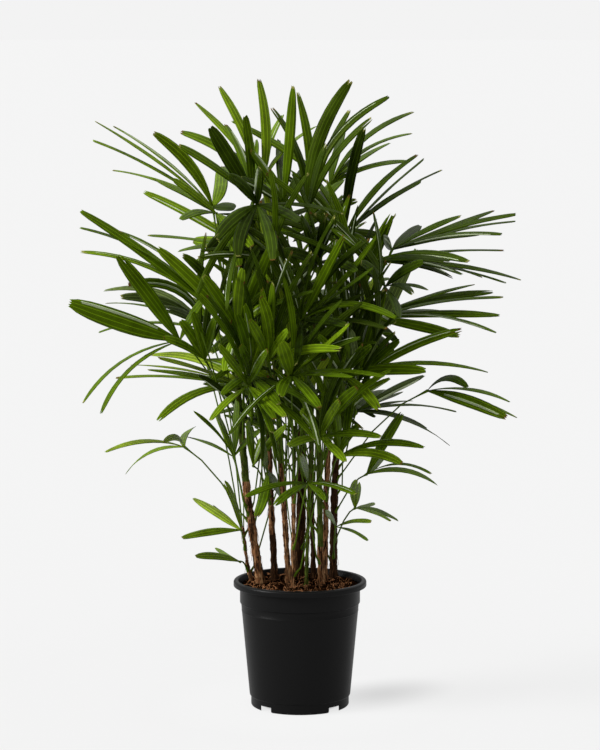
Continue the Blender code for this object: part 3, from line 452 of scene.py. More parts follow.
def box_shape(width, depth, low, high, turn):
    """An upright box round the axis, turned by an angle."""
    corners = ((-1, -1), (1, -1), (1, 1), (-1, 1))
    rings = []
    for height in (low, high):
        ring = []
        for x, y in corners:
            across = x * width / 2.0
            along = y * depth / 2.0
            ring.append(Vector((
                across * math.cos(turn) - along * math.sin(turn),
                across * math.sin(turn) + along * math.cos(turn), height)))
        rings.append(ring)
    return loft(rings)


def cane_station(cane, share):
    """The middle of a cane at a share of its height, on its bowed line."""
    foot = Vector((*cane.foot, SEAT_LEVEL))
    bow = Vector((*cane.bow, 0.0)) * 4.0 * share * (1.0 - share)
    return foot.lerp(Vector(cane.top), share) + bow


def cane_centre(cane, height):
    """The middle of a cane at a height, on the straight line from one station to the next."""
    share = min(max((height - SEAT_LEVEL) / (cane.top[2] - SEAT_LEVEL), 0.0), 1.0)
    for before, after in zip(CANE_STATIONS, CANE_STATIONS[1:]):
        if share <= after:
            part = (share - before) / (after - before)
            return cane_station(cane, before).lerp(cane_station(cane, after), part)


def cane_radius(cane, height):
    """A cane's radius at a height, with its taper and the flare at its foot."""
    share = (height - SEAT_LEVEL) / (cane.top[2] - SEAT_LEVEL)
    plain = cane.radius + (cane.tip_radius - cane.radius) * share
    flare = (CANE_FLARE - 1.0) * max(0.0, 1.0 - share / CANE_STATIONS[1])
    return plain * (1.0 + flare)


def cane_ring(centre, radius):
    """The corners of a cane's level section."""
    return [centre + level_way(side_turn(side, CANE_SIDES)) * radius for side in range(CANE_SIDES)]


def cane_shape(cane):
    """A cane as level rings, so that its foot is a flat cut on the soil."""
    rings = []
    for share in CANE_STATIONS:
        centre = cane_station(cane, share)
        radius = cane_radius(cane, centre.z)
        if share == 1.0:
            radius *= CANE_TIP_SHARE
        rings.append(cane_ring(centre, radius))
    return loft(rings)


def reach_in_band(ring, middle, heading, half):
    """How far a ring reaches along a heading within a band of this half width."""
    aside = Vector((-heading.y, heading.x, 0.0))
    places = [((corner - middle).dot(aside), (corner - middle).dot(heading)) for corner in ring]
    farthest = 0.0
    for (side, reach), (next_side, next_reach) in zip(places, places[1:] + places[:1]):
        if abs(side) <= half:
            farthest = max(farthest, reach)
        for edge in (-half, half):
            if (side - edge) * (next_side - edge) < 0.0:
                part = (edge - side) / (next_side - side)
                farthest = max(farthest, reach + (next_reach - reach) * part)
    return farthest


def seat_on_cane(cane, height, heading, radius):
    """Where a stalk's upright cut meets its cane, a hair clear of it."""
    middle = cane_centre(cane, height)
    farthest = 0.0
    for level in (height - radius, height, height + radius):
        ring = cane_ring(cane_centre(cane, level), cane_radius(cane, level))
        farthest = max(farthest, reach_in_band(ring, middle, heading, radius))
    return middle + heading * (farthest + SEAT_GAP)


def level_heading(start, end):
    """The level direction from one point to another."""
    flat = Vector((end.x - start.x, end.y - start.y, 0.0))
    if flat.length < 1.0:
        flat = TO_VIEWER
    return flat.normalized()


def stalk_path(start, heading, end):
    """A stalk steps out from its cane, rises and then leans over to its hub."""
    step = start + heading * STALK_STEP + upright(STALK_STEP)
    span = end - step
    flat = math.hypot(span.x, span.y)
    middle = step + span * 0.5 + upright(STALK_RISE_SHARE * flat)
    return [start] + [curve_point(step, middle, end, share) for share in STALK_STATIONS]


def stalk_shape(path, heading, grow=0.0):
    """A three-sided stalk that starts with an upright cut."""
    radii = [STALK_RADIUS + grow] * len(path)
    return tube(path, radii, 3, heading)


def leaflet_point(leaflet, share):
    """A point on a leaflet's line, which bows to one side and leans out late or early."""
    point = leaflet.hub.lerp(leaflet.tip, share) + leaflet.bow * 4.0 * share * (1.0 - share)
    point.y = leaflet.hub.y + (leaflet.tip.y - leaflet.hub.y) * share ** leaflet.ease
    return point


def facing_for_width(chord, shown, breadth):
    """Which way a leaflet faces when this much of its breadth is seen from the front."""
    along = chord.normalized()
    to_front = square_to(TO_VIEWER, along)
    edge_up = along.cross(to_front)
    if edge_up.z < 0:
        edge_up.negate()
    turn = math.acos(min(1.0, shown / breadth))
    return to_front * math.cos(turn) + edge_up * math.sin(turn)


def leaflet_shape(leaflet, grow=0.0):
    """One leaflet's solid."""
    thickness = (leaflet.tip - leaflet.hub).length * LEAFLET_THICKNESS_SHARE
    points = [leaflet_point(leaflet, share) for share, _ in LEAFLET_OUTLINE]
    return blade(points, leaflet.facing, leaflet.breadth, thickness, grow)


def hub_shape(centre):
    """The small body where a stalk and its leaflets meet."""
    ball = bmesh.new()
    bmesh.ops.create_icosphere(ball, subdivisions=1, radius=HUB_RADIUS)
    ball.verts.ensure_lookup_table()
    points = [centre + vert.co for vert in ball.verts]
    faces = [tuple(vert.index for vert in face.verts) for face in ball.faces]
    ball.free()
    return outward(points, faces)


def grown_box(centre, half):
    """A box round a point, used to keep room for a hub."""
    low = centre.z - half
    points, faces = box_shape(2.0 * half, 2.0 * half, low, low + 2.0 * half, 0.0)
    shift = Vector((centre.x, centre.y, 0.0))
    return [point + shift for point in points], faces


def place_stalk(room, name, cane_name, cane, foot, hub):
    """Find a foot height at which the stalk is clear of everything, and return its shape."""
    for move in HEIGHT_TRIES:
        height = min(max(foot + move, SOIL_LEVEL + STALK_LOWEST), cane.top[2] - STALK_BELOW_TIP)
        heading = level_heading(cane_centre(cane, height), hub)
        start = seat_on_cane(cane, height, heading, STALK_RADIUS)
        path = stalk_path(start, heading, hub)
        wide = stalk_shape(path, heading, 2.0 * ROOM)
        true_size = stalk_shape(path, heading)
        if room.is_free(name, wide, (cane_name,)) and room.is_free(name, true_size):
            return true_size, path
    return None, None


def place_leaflet(room, name, choices, leaflets):
    """Try a leaflet's possible places in turn and add the first one that has room to the frond's leaflets."""
    for leaflet in choices:
        if room.is_free(name, leaflet_shape(leaflet, ROOM)):
            room.add(name, leaflet_shape(leaflet))
            leaflets.append(leaflet)
            return


def tip_place(frond, heading, length):
    """Where the plan has the tip of a leaflet with this heading and length."""
    turn = math.radians(heading)
    return frond.hub[0] + length * math.cos(turn), frond.hub[1] + length * math.sin(turn)


def front_leaflets(frond, depth, number, heading, length, shown, arch):
    """One leaflet of the plan with its tip on its line of sight, at one depth after another."""
    turn = math.radians(heading)
    across, up = tip_place(frond, heading, length)
    hub = seen(*frond.hub, depth)
    upper_side = math.copysign(1.0, math.cos(turn))
    bow = Vector((-math.sin(turn), 0.0, math.cos(turn))) * upper_side * length * arch / 100.0
    ease = EASE_LEVEL + EASE_RANGE * math.sin(turn)
    breadth = max(LEAFLET_BREADTH, LEAFLET_BREADTH_SPARE * shown)
    hidden = math.sqrt(max(0.0, LEAFLET_REACH ** 2 - length ** 2)) * LEAFLET_DEPTH_SHARE
    side = -1.0 if depth < -NEAR_DEPTH else 1.0
    if abs(depth) <= NEAR_DEPTH:
        side = 1.0 if number % 2 else -1.0
    for move in DEPTH_TRIES:
        tip_depth = depth + side * hidden + move
        tip = seen(across, up, min(max(tip_depth, -DEEPEST), DEEPEST))
        facing = facing_for_width(tip - hub, shown, breadth)
        yield Leaflet(hub, tip, bow, ease, facing, breadth)


def inner_leaflets(frond, chance):
    """Leaflets that fill a frond up where the crown's core hides them, as rows of the plan."""
    for _ in range(INNER_TRIES):
        heading = chance.uniform(-90.0, 270.0)
        length = chance.uniform(*INNER_LENGTHS)
        if in_core(*tip_place(frond, heading, length)):
            yield heading, length, chance.uniform(*INNER_WIDTHS), INNER_ARCH


def place_front_frond(room, frond):
    """Place a frond's hub and stalk where they have room, and return the hub's depth and the stalk's path."""
    cane = CANES[frond.cane - 1]
    cane_name = "cane_%02d" % frond.cane
    for move in HUB_TRIES:
        depth = frond.depth + move
        hub = seen(*frond.hub, depth)
        if not room.is_free(frond.name, grown_box(hub, HUB_RADIUS + ROOM)):
            continue
        stalk, path = place_stalk(room, frond.name, cane_name, cane, frond.foot, hub)
        if stalk is not None:
            for shape in (hub_shape(hub), stalk):
                room.add(frond.name, shape)
            return depth, path
    return None, None


def add_planned_leaflets(room, placed):
    """Place the leaflets of the whole plan, the longest first, and return those of each frond."""
    order = []
    for frond, depth in placed:
        for number, row in enumerate(frond.leaflets):
            order.append((row[1], frond, depth, number, row))
    order.sort(key=lambda item: -item[0])
    leaflets = {frond.name: [] for frond, depth in placed}
    for _, frond, depth, number, row in order:
        choices = front_leaflets(frond, depth, number, *row)
        place_leaflet(room, frond.name, choices, leaflets[frond.name])
    return leaflets


def add_inner_leaflets(room, frond, depth, missing, chance):
    """Leaflets that the core hides, until the frond is full or the tries are used up."""
    leaflets = []
    for number, row in enumerate(inner_leaflets(frond, chance)):
        if len(leaflets) >= missing:
            break
        place_leaflet(room, frond.name, front_leaflets(frond, depth, number, *row), leaflets)
    return leaflets


def in_core(across, up):
    """Whether a place of the plan lies in the dense middle of the crown."""
    x = (across - CORE_CENTRE[0]) / CORE_HALF[0]
    z = (up - CORE_CENTRE[1]) / CORE_HALF[1]
    return x * x + z * z < 1.0


def point_in_core(point):
    """Whether the viewer sees a point within the dense middle of the crown."""
    scale = -EYE.y / (point.y - EYE.y)
    return in_core((point.x - EYE.x) * scale, EYE.z + (point.z - EYE.z) * scale)


def back_fan(turn, pitch, chance):
    """The directions, lengths and common facing of a fan that leans out from the plant's axis."""
    forward = level_way(turn) * math.cos(pitch) + upright(math.sin(pitch))
    aside = Vector((-math.sin(turn), math.cos(turn), 0.0))
    facing = forward.cross(aside)
    for number in range(BACK_LEAFLETS):
        angle = math.radians(BACK_SPREAD * (2.0 * number / (BACK_LEAFLETS - 1) - 1.0))
        angle += math.radians(chance.uniform(-BACK_SPREAD_SPARE, BACK_SPREAD_SPARE))
        length = BACK_REACH * (BACK_SIDE_SHARE + (1.0 - BACK_SIDE_SHARE) * math.cos(angle))
        length *= chance.uniform(*BACK_LENGTH_SHARES)
        way = forward * math.cos(angle) + aside * math.sin(angle)
        way.z -= BACK_DROOP * abs(math.sin(angle))
        yield way.normalized(), length, facing


def back_leaflets(hub, way, length, facing):
    """Places for one leaflet of the back that stay in the core, the longest first."""
    for share in BACK_SHORTER:
        for sway in BACK_SWAYS:
            tip = hub + (way + upright(sway)).normalized() * length * share
            if point_in_core(tip):
                bow = upright(BACK_ARCH * length * share)
                yield Leaflet(hub, tip, bow, 1.0, facing, BACK_BREADTH)


def back_hub(turn, tier, chance):
    """A hub of one tier of the back, with the direction and the pitch of its fan."""
    height, reach, pitch = BACK_TIERS[tier]
    around = turn + math.radians(chance.uniform(-BACK_TURN_SPARE, BACK_TURN_SPARE))
    hub = level_way(around) * reach
    hub *= chance.uniform(*BACK_REACH_SHARES)
    hub.z = height + chance.uniform(-BACK_HEIGHT_SPARE, BACK_HEIGHT_SPARE)
    return hub, around, math.radians(pitch)


def place_back_stalks(room, number, chance):
    """One thin shoot behind the canes with a hub on each of its tiers."""
    name = "frond_group_back_%02d" % (number + 1)
    cane_number = BACK_CANES[number]
    cane = CANES[cane_number - 1]
    highest = len(BACK_TIERS) - 1
    for move in BACK_TURN_TRIES:
        turn = math.radians(BACK_TURNS[number] + move)
        hub, around, pitch = back_hub(turn, highest, chance)
        stalk, main_path = place_stalk(room, name, "cane_%02d" % cane_number, cane, BACK_FOOT, hub)
        if stalk is not None:
            break
    if stalk is None:
        return name, [], []
    shapes = [stalk, hub_shape(hub)]
    paths = [(cane_number, main_path)]
    fans = [(hub, around, pitch)]
    for tier in reversed(range(highest)):
        hub, around, pitch = back_hub(turn, tier, chance)
        start = main_path[1].lerp(main_path[2], BRANCH_LOW + BRANCH_STEP * tier)
        rise = BRANCH_RISE * (hub - start).length
        middle = start.lerp(hub, 0.5) + upright(rise)
        path = [curve_point(start, middle, hub, share) for share in STALK_STATIONS]
        if room.is_free(name, tube(path, [STALK_RADIUS + 2.0 * ROOM] * len(path), 3)):
            shapes += [tube(path, [STALK_RADIUS] * len(path), 3), hub_shape(hub)]
            paths.append((None, path))
            fans.append((hub, around, pitch))
    for shape in shapes:
        room.add(name, shape)
    return name, paths, fans


def add_back_leaflets(room, name, fans, chance):
    """The leaflets of every fan of one group at the back."""
    leaflets = []
    for hub, around, pitch in fans:
        for direction, length, facing in back_fan(around, pitch, chance):
            place_leaflet(room, name, back_leaflets(hub, direction, length, facing), leaflets)
    return leaflets


# Leaflets as drawn: width along the length, rows, and how sections rise
BLADE_OUTLINE = (
    (0.0, 0.13), (0.08, 0.34), (0.2, 0.66), (0.35, 0.9), (0.5, 1.0), (0.7, 0.97), (0.84, 0.85), (0.94, 0.68),
    (1.0, 0.44))
# A short leaflet is drawn narrower, and one that leans toward the viewer slimmer, down to a least share
SHORT_SHARE = 0.38
SHORT_LENGTH = 230.0
SLIMMEST = 0.42
BLADE_ROWS = (0.0, 0.06, 0.13, 0.22, 0.32, 0.43, 0.54, 0.65, 0.75, 0.84, 0.91, 0.955, 0.982, 1.0)
LAST_ROW = len(BLADE_ROWS) - 2

# More leaflets in the fans of the core than the solids have
FILLED_FROND = 12
FILL_TRIES = 44
FILL_SPREAD = 24.0
FILL_LENGTHS = (140.0, 240.0)
FILL_WIDTHS = (6.0, 13.0)
SLIM_BREADTH = 13.0
FILL_LOWEST = 430.0

# Smaller fronds deep in the core, which only the scene has
INNER_SEED = 23
INNER_FRONDS = 99
INNER_PLACES = (0.02, 0.8)
INNER_DEPTHS = (-190.0, 200.0)
INNER_DROPS = (120.0, 260.0)
INNER_FAN = 9
INNER_FAN_LEAN = 0.45
INNER_FAN_SWAY = 8.0
INNER_FAN_SPREADS = (95.0, 70.0, 24.0)
INNER_FAN_LENGTHS = (130.0, 240.0)
# Looks of the small fronds in the core by their number; the darker pairs are partly painted shade of the core
INNER_LOOKS = (("dark", "leaf"), ("deep", "leaf"), ("fresh", "bright"))

# How leaflets are drawn: pleats, arch of their sections, waves along their edges, and shares of the
# length that are missing at each tooth, corner or split of their ends
DRAW_SEED = 11
NARROW_PLEATS = 3
WIDE_PLEATS = 4
WIDE_BREADTH = 24.5
ARCH_AT_BASE = 0.24
ARCH_AT_TIP = 0.07
PLEAT_DEPTH = 0.3
PLEAT_LEAST = 0.3
UNTWISTED = 0.35
WAVE_TURNS = 9.0
WAVE_LAG = 1.3
TOOTH = (0.008, 0.035)
INNER_TOOTH_SHARE = 0.3
CORNER = (0.02, 0.05)
SPLIT = (0.07, 0.18)
SPLIT_CHANCE = 0.22
SURFACE_STEP = 10.0

# The look of most leaflets of a frond and of the rest, and the fronds that have it. The looks are partly the
# leaves' own tones and partly painted light and shade: fronds on the left, toward the key light, get the
# lighter looks, fronds at the top middle the darker ones
LOOKS_OF_FRONDS = (
    ("leaf", "dark", ("top_01", "top_05", "right_03", "right_06", "front_01")),
    ("fresh", "leaf", (
        "top_02", "left_02", "left_03", "left_05", "left_08", "left_10", "left_13", "right_09", "right_10",
        "front_04", "front_07", "front_09")),
    ("dark", "leaf", ("top_03", "top_04", "right_02", "right_13")),
    ("deep", "dark", ("top_06", "right_12")),
    ("dark", "deep", ("top_07", "top_08", "right_01", "right_11")),
    ("fresh", "bright", ("left_01", "left_09", "left_11")),
    ("leaf", "fresh", (
        "left_04", "right_05", "right_07", "right_08", "front_02", "front_03", "front_05", "front_06",
        "front_08")),
    ("leaf", "leaf", ("left_06",)),
    ("leaf", "grey", ("left_07", "right_04")),
    ("bright", "fresh", ("left_12",)),
)
FROND_LOOKS = {"frond_" + name: (most, rest) for most, rest, names in LOOKS_OF_FRONDS for name in names}
# Looks of the back fronds and of the leaflets added in the core: darker tones, partly painted shade of the
# back and the core
OTHER_LOOKS = (("dark", "leaf"), ("deep", "dark"), ("dark", "deep"))
SECOND_LOOK_CHANCE = 0.38
LOOKS = ("deep", "dark", "leaf", "fresh", "bright", "grey", "gloss", "straw", "brown")
# A leaflet's chance of a painted highlight, and the rows that its streak of pale colour covers
PAINTED_HIGHLIGHT_CHANCE = 0.2
PAINTED_HIGHLIGHT_ROWS = (3, 9)
STRAW_SHARE = 0.55
BROWN_SHARE = 0.45

# What covers each cane, up to which height: fibrous bark, dark fibre or green sheaths
CANE_COVERS = (
    ((330.0, "bark"),),
    ((405.0, "bark"), (700.0, "sheath")),
    ((300.0, "dark_bark"), (470.0, "bark"), (740.0, "sheath")),
    ((440.0, "bark"), (650.0, "sheath")),
    ((400.0, "bark"), (530.0, "sheath")),
    ((520.0, "dark_bark"), (770.0, "sheath")),
    ((530.0, "sheath"),),
    ((420.0, "dark_bark"), (750.0, "sheath")),
    ((480.0, "bark"), (660.0, "sheath")),
    ((290.0, "bark"), (570.0, "sheath")),
    ((445.0, "dark_bark"), (710.0, "sheath")),
)
COVERS = ("bark", "dark_bark", "sheath", "dry_edge")
RING_STEP = 4.0
RING_SIDES = 20
SHEATH_PITCH = 46.0
# Patches on the bark: how quickly they change round, across and along a cane, and from which tone on
PATCH_TURN = 2.2
PATCH_ACROSS = 0.05
PATCH_ALONG = 0.035
PATCH_LEVEL = 0.2
# Finer relief on the patches and on the bark: how much finer it is and how strong
PATCH_FINE = (3.1, 0.6)
BARK_FINE = (2.7, 0.5)

# Thin unopened leaves between the canes
SPEARS = 18
SPEAR_FEET = (260.0, 520.0)
SPEAR_BULGE = (2.0, 22.0)
SPEAR_LEAN = (-10.0, 45.0)
SPEAR_RISE = (220.0, 340.0)
SPEAR_STEPS = 14


class Shape:
    """Collects the points, faces, looks and surface places of one joined mesh."""

    def __init__(self):
        self.points = []
        self.faces = []
        self.looks = []
        self.places = []

    def turn_out(self, first_point, first_face):
        """Turn the faces added since a mark outward."""
        points = self.points[first_point:]
        faces = [tuple(corner - first_point for corner in face) for face in self.faces[first_face:]]
        if signed_volume(points, faces) < 0.0:
            for place in range(first_face, len(self.faces)):
                self.faces[place] = tuple(reversed(self.faces[place]))
                if self.places:
                    self.places[place] = list(reversed(self.places[place]))


def new_object(name, data):
    """An object in the scene, at the origin."""
    made = bpy.data.objects.new(name, data)
    bpy.context.scene.collection.objects.link(made)
    return made


def make_piece(name, shape, materials):
    """One object from a shape in millimetres, shaded smooth, at the origin."""
    mesh = bpy.data.meshes.new(name)
    mesh.from_pydata([point * MM for point in shape.points], [], shape.faces)
    for material in materials:
        mesh.materials.append(material)
    if shape.looks:
        mesh.polygons.foreach_set("material_index", shape.looks)
    mesh.polygons.foreach_set("use_smooth", [True] * len(shape.faces))
    if shape.places:
        layer = mesh.uv_layers.new(name="surface")
        flat = []
        for corners in shape.places:
            for place in corners:
                flat += place
        layer.data.foreach_set("uv", flat)
    mesh.validate()
    return new_object(name, mesh)


def along_table(table, share):
    """A value read from (share, value) pairs, smoothed between them."""
    for (before, low), (after, high) in zip(table, table[1:]):
        if share <= after:
            part = (share - before) / (after - before)
            part = part * part * (3.0 - 2.0 * part) * 0.5 + part * 0.5
            return low + (high - low) * part
    return table[-1][1]


def leaflet_ends(pleats, chance):
    """Where each column of a leaflet ends: teeth at its pleats, with a deeper split now and then."""
    ends = []
    for column in range(2 * pleats + 1):
        if column in (0, 2 * pleats):
            ends.append(1.0 - chance.uniform(*CORNER))
        elif column % 2 == 0:
            ends.append(1.0 - chance.uniform(*TOOTH))
        else:
            ends.append(1.0 - INNER_TOOTH_SHARE * chance.uniform(*TOOTH))
    if chance.random() < SPLIT_CHANCE:
        ends[2 * chance.randint(1, pleats - 1)] = 1.0 - chance.uniform(*SPLIT)
    return ends


def blade_frame(leaflet, share, twist):
    """The middle of a leaflet at a share of its length, with its aside and upward directions."""
    step = 0.02
    centre = leaflet_point(leaflet, share)
    along = leaflet_point(leaflet, min(1.0, share + step)) - leaflet_point(leaflet, max(0.0, share - step))
    along.normalize()
    upward = square_to(leaflet.facing, along)
    aside = upward.cross(along)
    turn = twist * (share - UNTWISTED)
    return (centre, aside * math.cos(turn) + upward * math.sin(turn),
            upward * math.cos(turn) - aside * math.sin(turn))


def slimness(leaflet):
    """How much slimmer a leaflet is drawn, so that the viewer sees the width of the plan."""
    chord = (leaflet.tip - leaflet.hub).normalized()
    planned = leaflet.facing.dot(square_to(TO_VIEWER, chord))
    centre, aside, upward = blade_frame(leaflet, 0.5, 0.0)
    sight = (centre - EYE).normalized()
    along = square_to(aside.cross(upward), sight)
    shown = along.cross(aside - sight * aside.dot(sight)).length
    return min(1.0, max(SLIMMEST, abs(planned) / max(shown, 0.01)))


def blade_points(leaflet, slim, ends, twist, sway, phase, leaf):
    """The points of a leaflet's upper and lower side, row by row, and their places on its surface."""
    pleats = len(ends) // 2
    length = (leaflet.tip - leaflet.hub).length
    face_on = abs(leaflet.facing.y)
    breadth = leaflet.breadth * min(1.0, SHORT_SHARE + length / SHORT_LENGTH) * slim
    points = []
    places = []
    for layer in (0.5, -0.5):
        for row_share in BLADE_ROWS:
            for column, end in enumerate(ends):
                share = row_share * end
                centre, aside, upward = blade_frame(leaflet, share, twist * face_on)
                across = column / pleats - 1.0
                width = breadth * along_table(BLADE_OUTLINE, row_share)
                arch = (ARCH_AT_BASE + (ARCH_AT_TIP - ARCH_AT_BASE) * share) * width * face_on
                rise = arch * (1.0 - across * across)
                if column % 2:
                    rise += PLEAT_DEPTH * width / pleats * (PLEAT_LEAST + (1.0 - PLEAT_LEAST) * face_on)
                turn = phase + WAVE_TURNS * share + WAVE_LAG * across
                wave = leaf.wave / MM * abs(across) * math.sin(turn)
                bend = sway * length * math.sin(math.pi * share)
                point = centre + aside * (0.5 * width * across + bend)
                points.append(point + upward * (rise + wave * share + leaf.thickness / MM * layer))
                places.append((0.5 * (across + 1.0) * pleats, share * length / SURFACE_STEP))
    return points, places


def blade_faces(columns):
    """The faces of a leaflet's two sides, each with its row and column, and of the rim between them."""
    rows = len(BLADE_ROWS)
    size = rows * columns
    faces = []
    for row in range(rows - 1):
        for column in range(columns - 1):
            low = row * columns + column
            back = low + size
            faces.append(((low, low + 1, low + columns + 1, low + columns), row, column))
            faces.append(((back, back + columns, back + columns + 1, back + 1), row, column))
    rim = list(range(columns))
    rim += [row * columns + columns - 1 for row in range(1, rows)]
    rim += [(rows - 1) * columns + column for column in range(columns - 2, -1, -1)]
    rim += [row * columns for row in range(rows - 2, 0, -1)]
    for corner, following in zip(rim, rim[1:] + rim[:1]):
        faces.append(((following, corner, corner + size, following + size), None, None))
    return faces


def draw_leaflet(shape, leaflet, slim, look, chance, leaf):
    """Add one leaflet: a pleated blade with a blunt toothed end, closed on both sides."""
    pleats = WIDE_PLEATS if leaflet.breadth > WIDE_BREADTH else NARROW_PLEATS
    twist = chance.uniform(-leaf.twist, leaf.twist)
    sway = chance.uniform(-leaf.sway, leaf.sway)
    phase = chance.uniform(0.0, 2.0 * math.pi)
    ends = leaflet_ends(pleats, chance)
    shares = (1.0 - leaf.dry_share, STRAW_SHARE * leaf.dry_share, BROWN_SHARE * leaf.dry_share)
    tip_look = chance.choices((look, "straw", "brown"), shares)[0]
    # Now and then a painted highlight: a streak of pale colour along one column of faces
    has_painted_highlight = chance.random() < PAINTED_HIGHLIGHT_CHANCE
    painted_streak = chance.randrange(2 * pleats)
    points, places = blade_points(leaflet, slim, ends, twist, sway, phase, leaf)
    first_point = len(shape.points)
    first_face = len(shape.faces)
    shape.points += points
    for corners, row, column in blade_faces(len(ends)):
        face_look = tip_look if row == LAST_ROW else look
        if has_painted_highlight and column == painted_streak and PAINTED_HIGHLIGHT_ROWS[0] <= row <= PAINTED_HIGHLIGHT_ROWS[1]:
            face_look = "gloss"
        shape.faces.append(tuple(first_point + corner for corner in corners))
        shape.looks.append(LOOKS.index(face_look))
        shape.places.append([places[corner] for corner in corners])
    shape.turn_out(first_point, first_face)


def solid_of(node):
    """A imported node's points in millimetres and its faces."""
    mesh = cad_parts[node].data
    return [vert.co / MM for vert in mesh.vertices], [tuple(face.vertices) for face in mesh.polygons]


def is_filled(across, up):
    """Whether a leaflet that only the scene has may end at this place of the plan."""
    return up > FILL_LOWEST and in_core(across, up)


def slim_leaflets(frond, depth, number, row):
    """The places of a leaflet that only the scene has, which is slimmer than those of the plan."""
    for leaflet in front_leaflets(frond, depth, number, *row):
        facing = facing_for_width(leaflet.tip - leaflet.hub, row[2], SLIM_BREADTH)
        yield leaflet._replace(facing=facing, breadth=SLIM_BREADTH)


def fill_frond(room, frond, depth, missing, chance):
    """More leaflets between those of a frond, in the core of the crown."""
    leaflets = []
    for number in range(FILL_TRIES):
        if len(leaflets) >= missing:
            break
        heading = chance.choice(frond.leaflets)[0] + chance.uniform(-FILL_SPREAD, FILL_SPREAD)
        length = chance.uniform(*FILL_LENGTHS)
        if is_filled(*tip_place(frond, heading, length)):
            row = (heading, length, chance.uniform(*FILL_WIDTHS), INNER_ARCH)
            place_leaflet(room, frond.name, slim_leaflets(frond, depth, number, row), leaflets)
    return leaflets


def inner_frond(number, chance):
    """The plan of one small frond in the core: its cane, foot, hub and a fan that opens outward."""
    turn = chance.uniform(0.0, 2.0 * math.pi)
    reach = math.sqrt(chance.uniform(*INNER_PLACES))
    across = CORE_CENTRE[0] + CORE_HALF[0] * reach * math.cos(turn)
    up = CORE_CENTRE[1] + CORE_HALF[1] * reach * math.sin(turn)
    cane = chance.randrange(len(CANES)) + 1
    middle = 90.0 - INNER_FAN_LEAN * across
    spread = INNER_FAN_SPREADS[number % len(INNER_FAN_SPREADS)]
    rows = []
    for place in range(INNER_FAN):
        heading = middle + spread * (2.0 * place / (INNER_FAN - 1) - 1.0)
        heading += chance.uniform(-INNER_FAN_SWAY, INNER_FAN_SWAY)
        rows.append((heading, chance.uniform(*INNER_FAN_LENGTHS), chance.uniform(*FILL_WIDTHS), INNER_ARCH))
    foot = up - chance.uniform(*INNER_DROPS)
    return Frond("inner_%02d" % number, cane, foot, chance.uniform(*INNER_DEPTHS), (across, up), rows)


def grow_inner_fronds(room, crown):
    """Grow small fronds by the same rule where the core still has room for them."""
    chance = random.Random(INNER_SEED)
    for number in range(INNER_FRONDS):
        frond = inner_frond(number, chance)
        depth, path = place_front_frond(room, frond)
        if path is None:
            continue
        leaflets = []
        for place, row in enumerate(frond.leaflets):
            if is_filled(*tip_place(frond, row[0], row[1])):
                place_leaflet(room, frond.name, slim_leaflets(frond, depth, place, row), leaflets)
        crown[frond.name] = ([(frond.cane, path)], leaflets)


def plan_crown():
    """Place every stalk and leaflet by the rule of the solids: name to (stalks, leaflets)."""
    chance = random.Random(BACK_SEED)
    room = Room()
    room.add("pot", solid_of("pot"))
    for number, cane in enumerate(CANES):
        room.add("cane_%02d" % (number + 1), cane_shape(cane))
    crown = {}
    placed = []
    for frond in FRONDS:
        depth, path = place_front_frond(room, frond)
        if path is None:
            continue
        crown[frond.name] = ([(frond.cane, path)], [])
        placed.append((frond, depth))
    groups = []
    for number in range(len(BACK_CANES)):
        name, paths, fans = place_back_stalks(room, number, chance)
        if paths:
            crown[name] = (paths, [])
            groups.append((name, fans))
    planned = add_planned_leaflets(room, placed)
    for name, fans in groups:
        crown[name][1].extend(add_back_leaflets(room, name, fans, chance))
    for frond, depth in placed:
        leaflets = planned[frond.name]
        if len(leaflets) < FULL_FROND and in_core(*frond.hub):
            missing = FULL_FROND - len(leaflets)
            leaflets += add_inner_leaflets(room, frond, depth, missing, chance)
        crown[frond.name][1].extend(leaflets)
    for frond, depth in placed:
        leaflets = crown[frond.name][1]
        if in_core(*frond.hub):
            leaflets.extend(fill_frond(room, frond, depth, FILLED_FROND - len(leaflets), chance))
    grow_inner_fronds(room, crown)
    return crown


# How leaves look: the tint of their sheen, the strength of their shine, a pleat's ridge as a share of
# its width, the turn of the vein wave over one pleat, and the slow change of tone and gloss
LEAF_SHEEN = (0.9, 1.0, 0.15)
LEAF_SHINE = 0.07
STREAK_SHINE = 0.4
RIB_WIDTH = 0.11
RIB_LIGHT = 1.7
DRY_RIB_LIGHT = 0.1
VEIN_LIGHT = 0.24
VEIN_TURN = 25.13
TONE_SCALE = 26.0
TONE_BAND = (0.3, 0.7)
TONE_LEVELS = (0.6, 1.15)
GLOSS_LEVELS = (0.22, 0.36)
VEIN_RELIEF = 0.0002

# Half a turn, for pieces that may lie any way round
ANY_WAY = 3.14
GEOMETRY = (("Geometry", "Geometry"),)


def new_group(name, kind, inputs, outputs):
    """An empty node group with its inputs and outputs, given as (name, kind of socket)."""
    group = bpy.data.node_groups.new(name, kind)
    for way, sockets in (("INPUT", inputs), ("OUTPUT", outputs)):
        for label, socket in sockets:
            group.interface.new_socket(label, in_out=way, socket_type="NodeSocket" + socket)
    return group, group.nodes.new("NodeGroupInput").outputs, group.nodes.new("NodeGroupOutput").inputs


def put(tree, kind, inputs=None, **settings):
    """Add a node, set its options, and link or set its inputs by place."""
    node = tree.nodes.new(kind)
    for label, value in settings.items():
        setattr(node, label, value)
    for place, value in (inputs or {}).items():
        if isinstance(value, bpy.types.NodeSocket):
            tree.links.new(value, node.inputs[place])
        else:
            node.inputs[place].default_value = value
    return node


def calc(tree, operation, *values, **settings):
    """The result of a sum on numbers or sockets."""
    return put(tree, "ShaderNodeMath", dict(enumerate(values)), operation=operation, **settings).outputs[0]


def ranged(tree, value, given, result, **settings):
    """A value moved from a given range to the range of its result."""
    places = {0: value, 1: given[0], 2: given[1], 3: result[0], 4: result[1]}
    return put(tree, "ShaderNodeMapRange", places, **settings).outputs[0]


def shaded(tree, colour, factor):
    """A colour made lighter or darker by a factor."""
    node = put(tree, "ShaderNodeVectorMath", {0: colour, "Scale": factor}, operation="SCALE")
    return node.outputs[0]


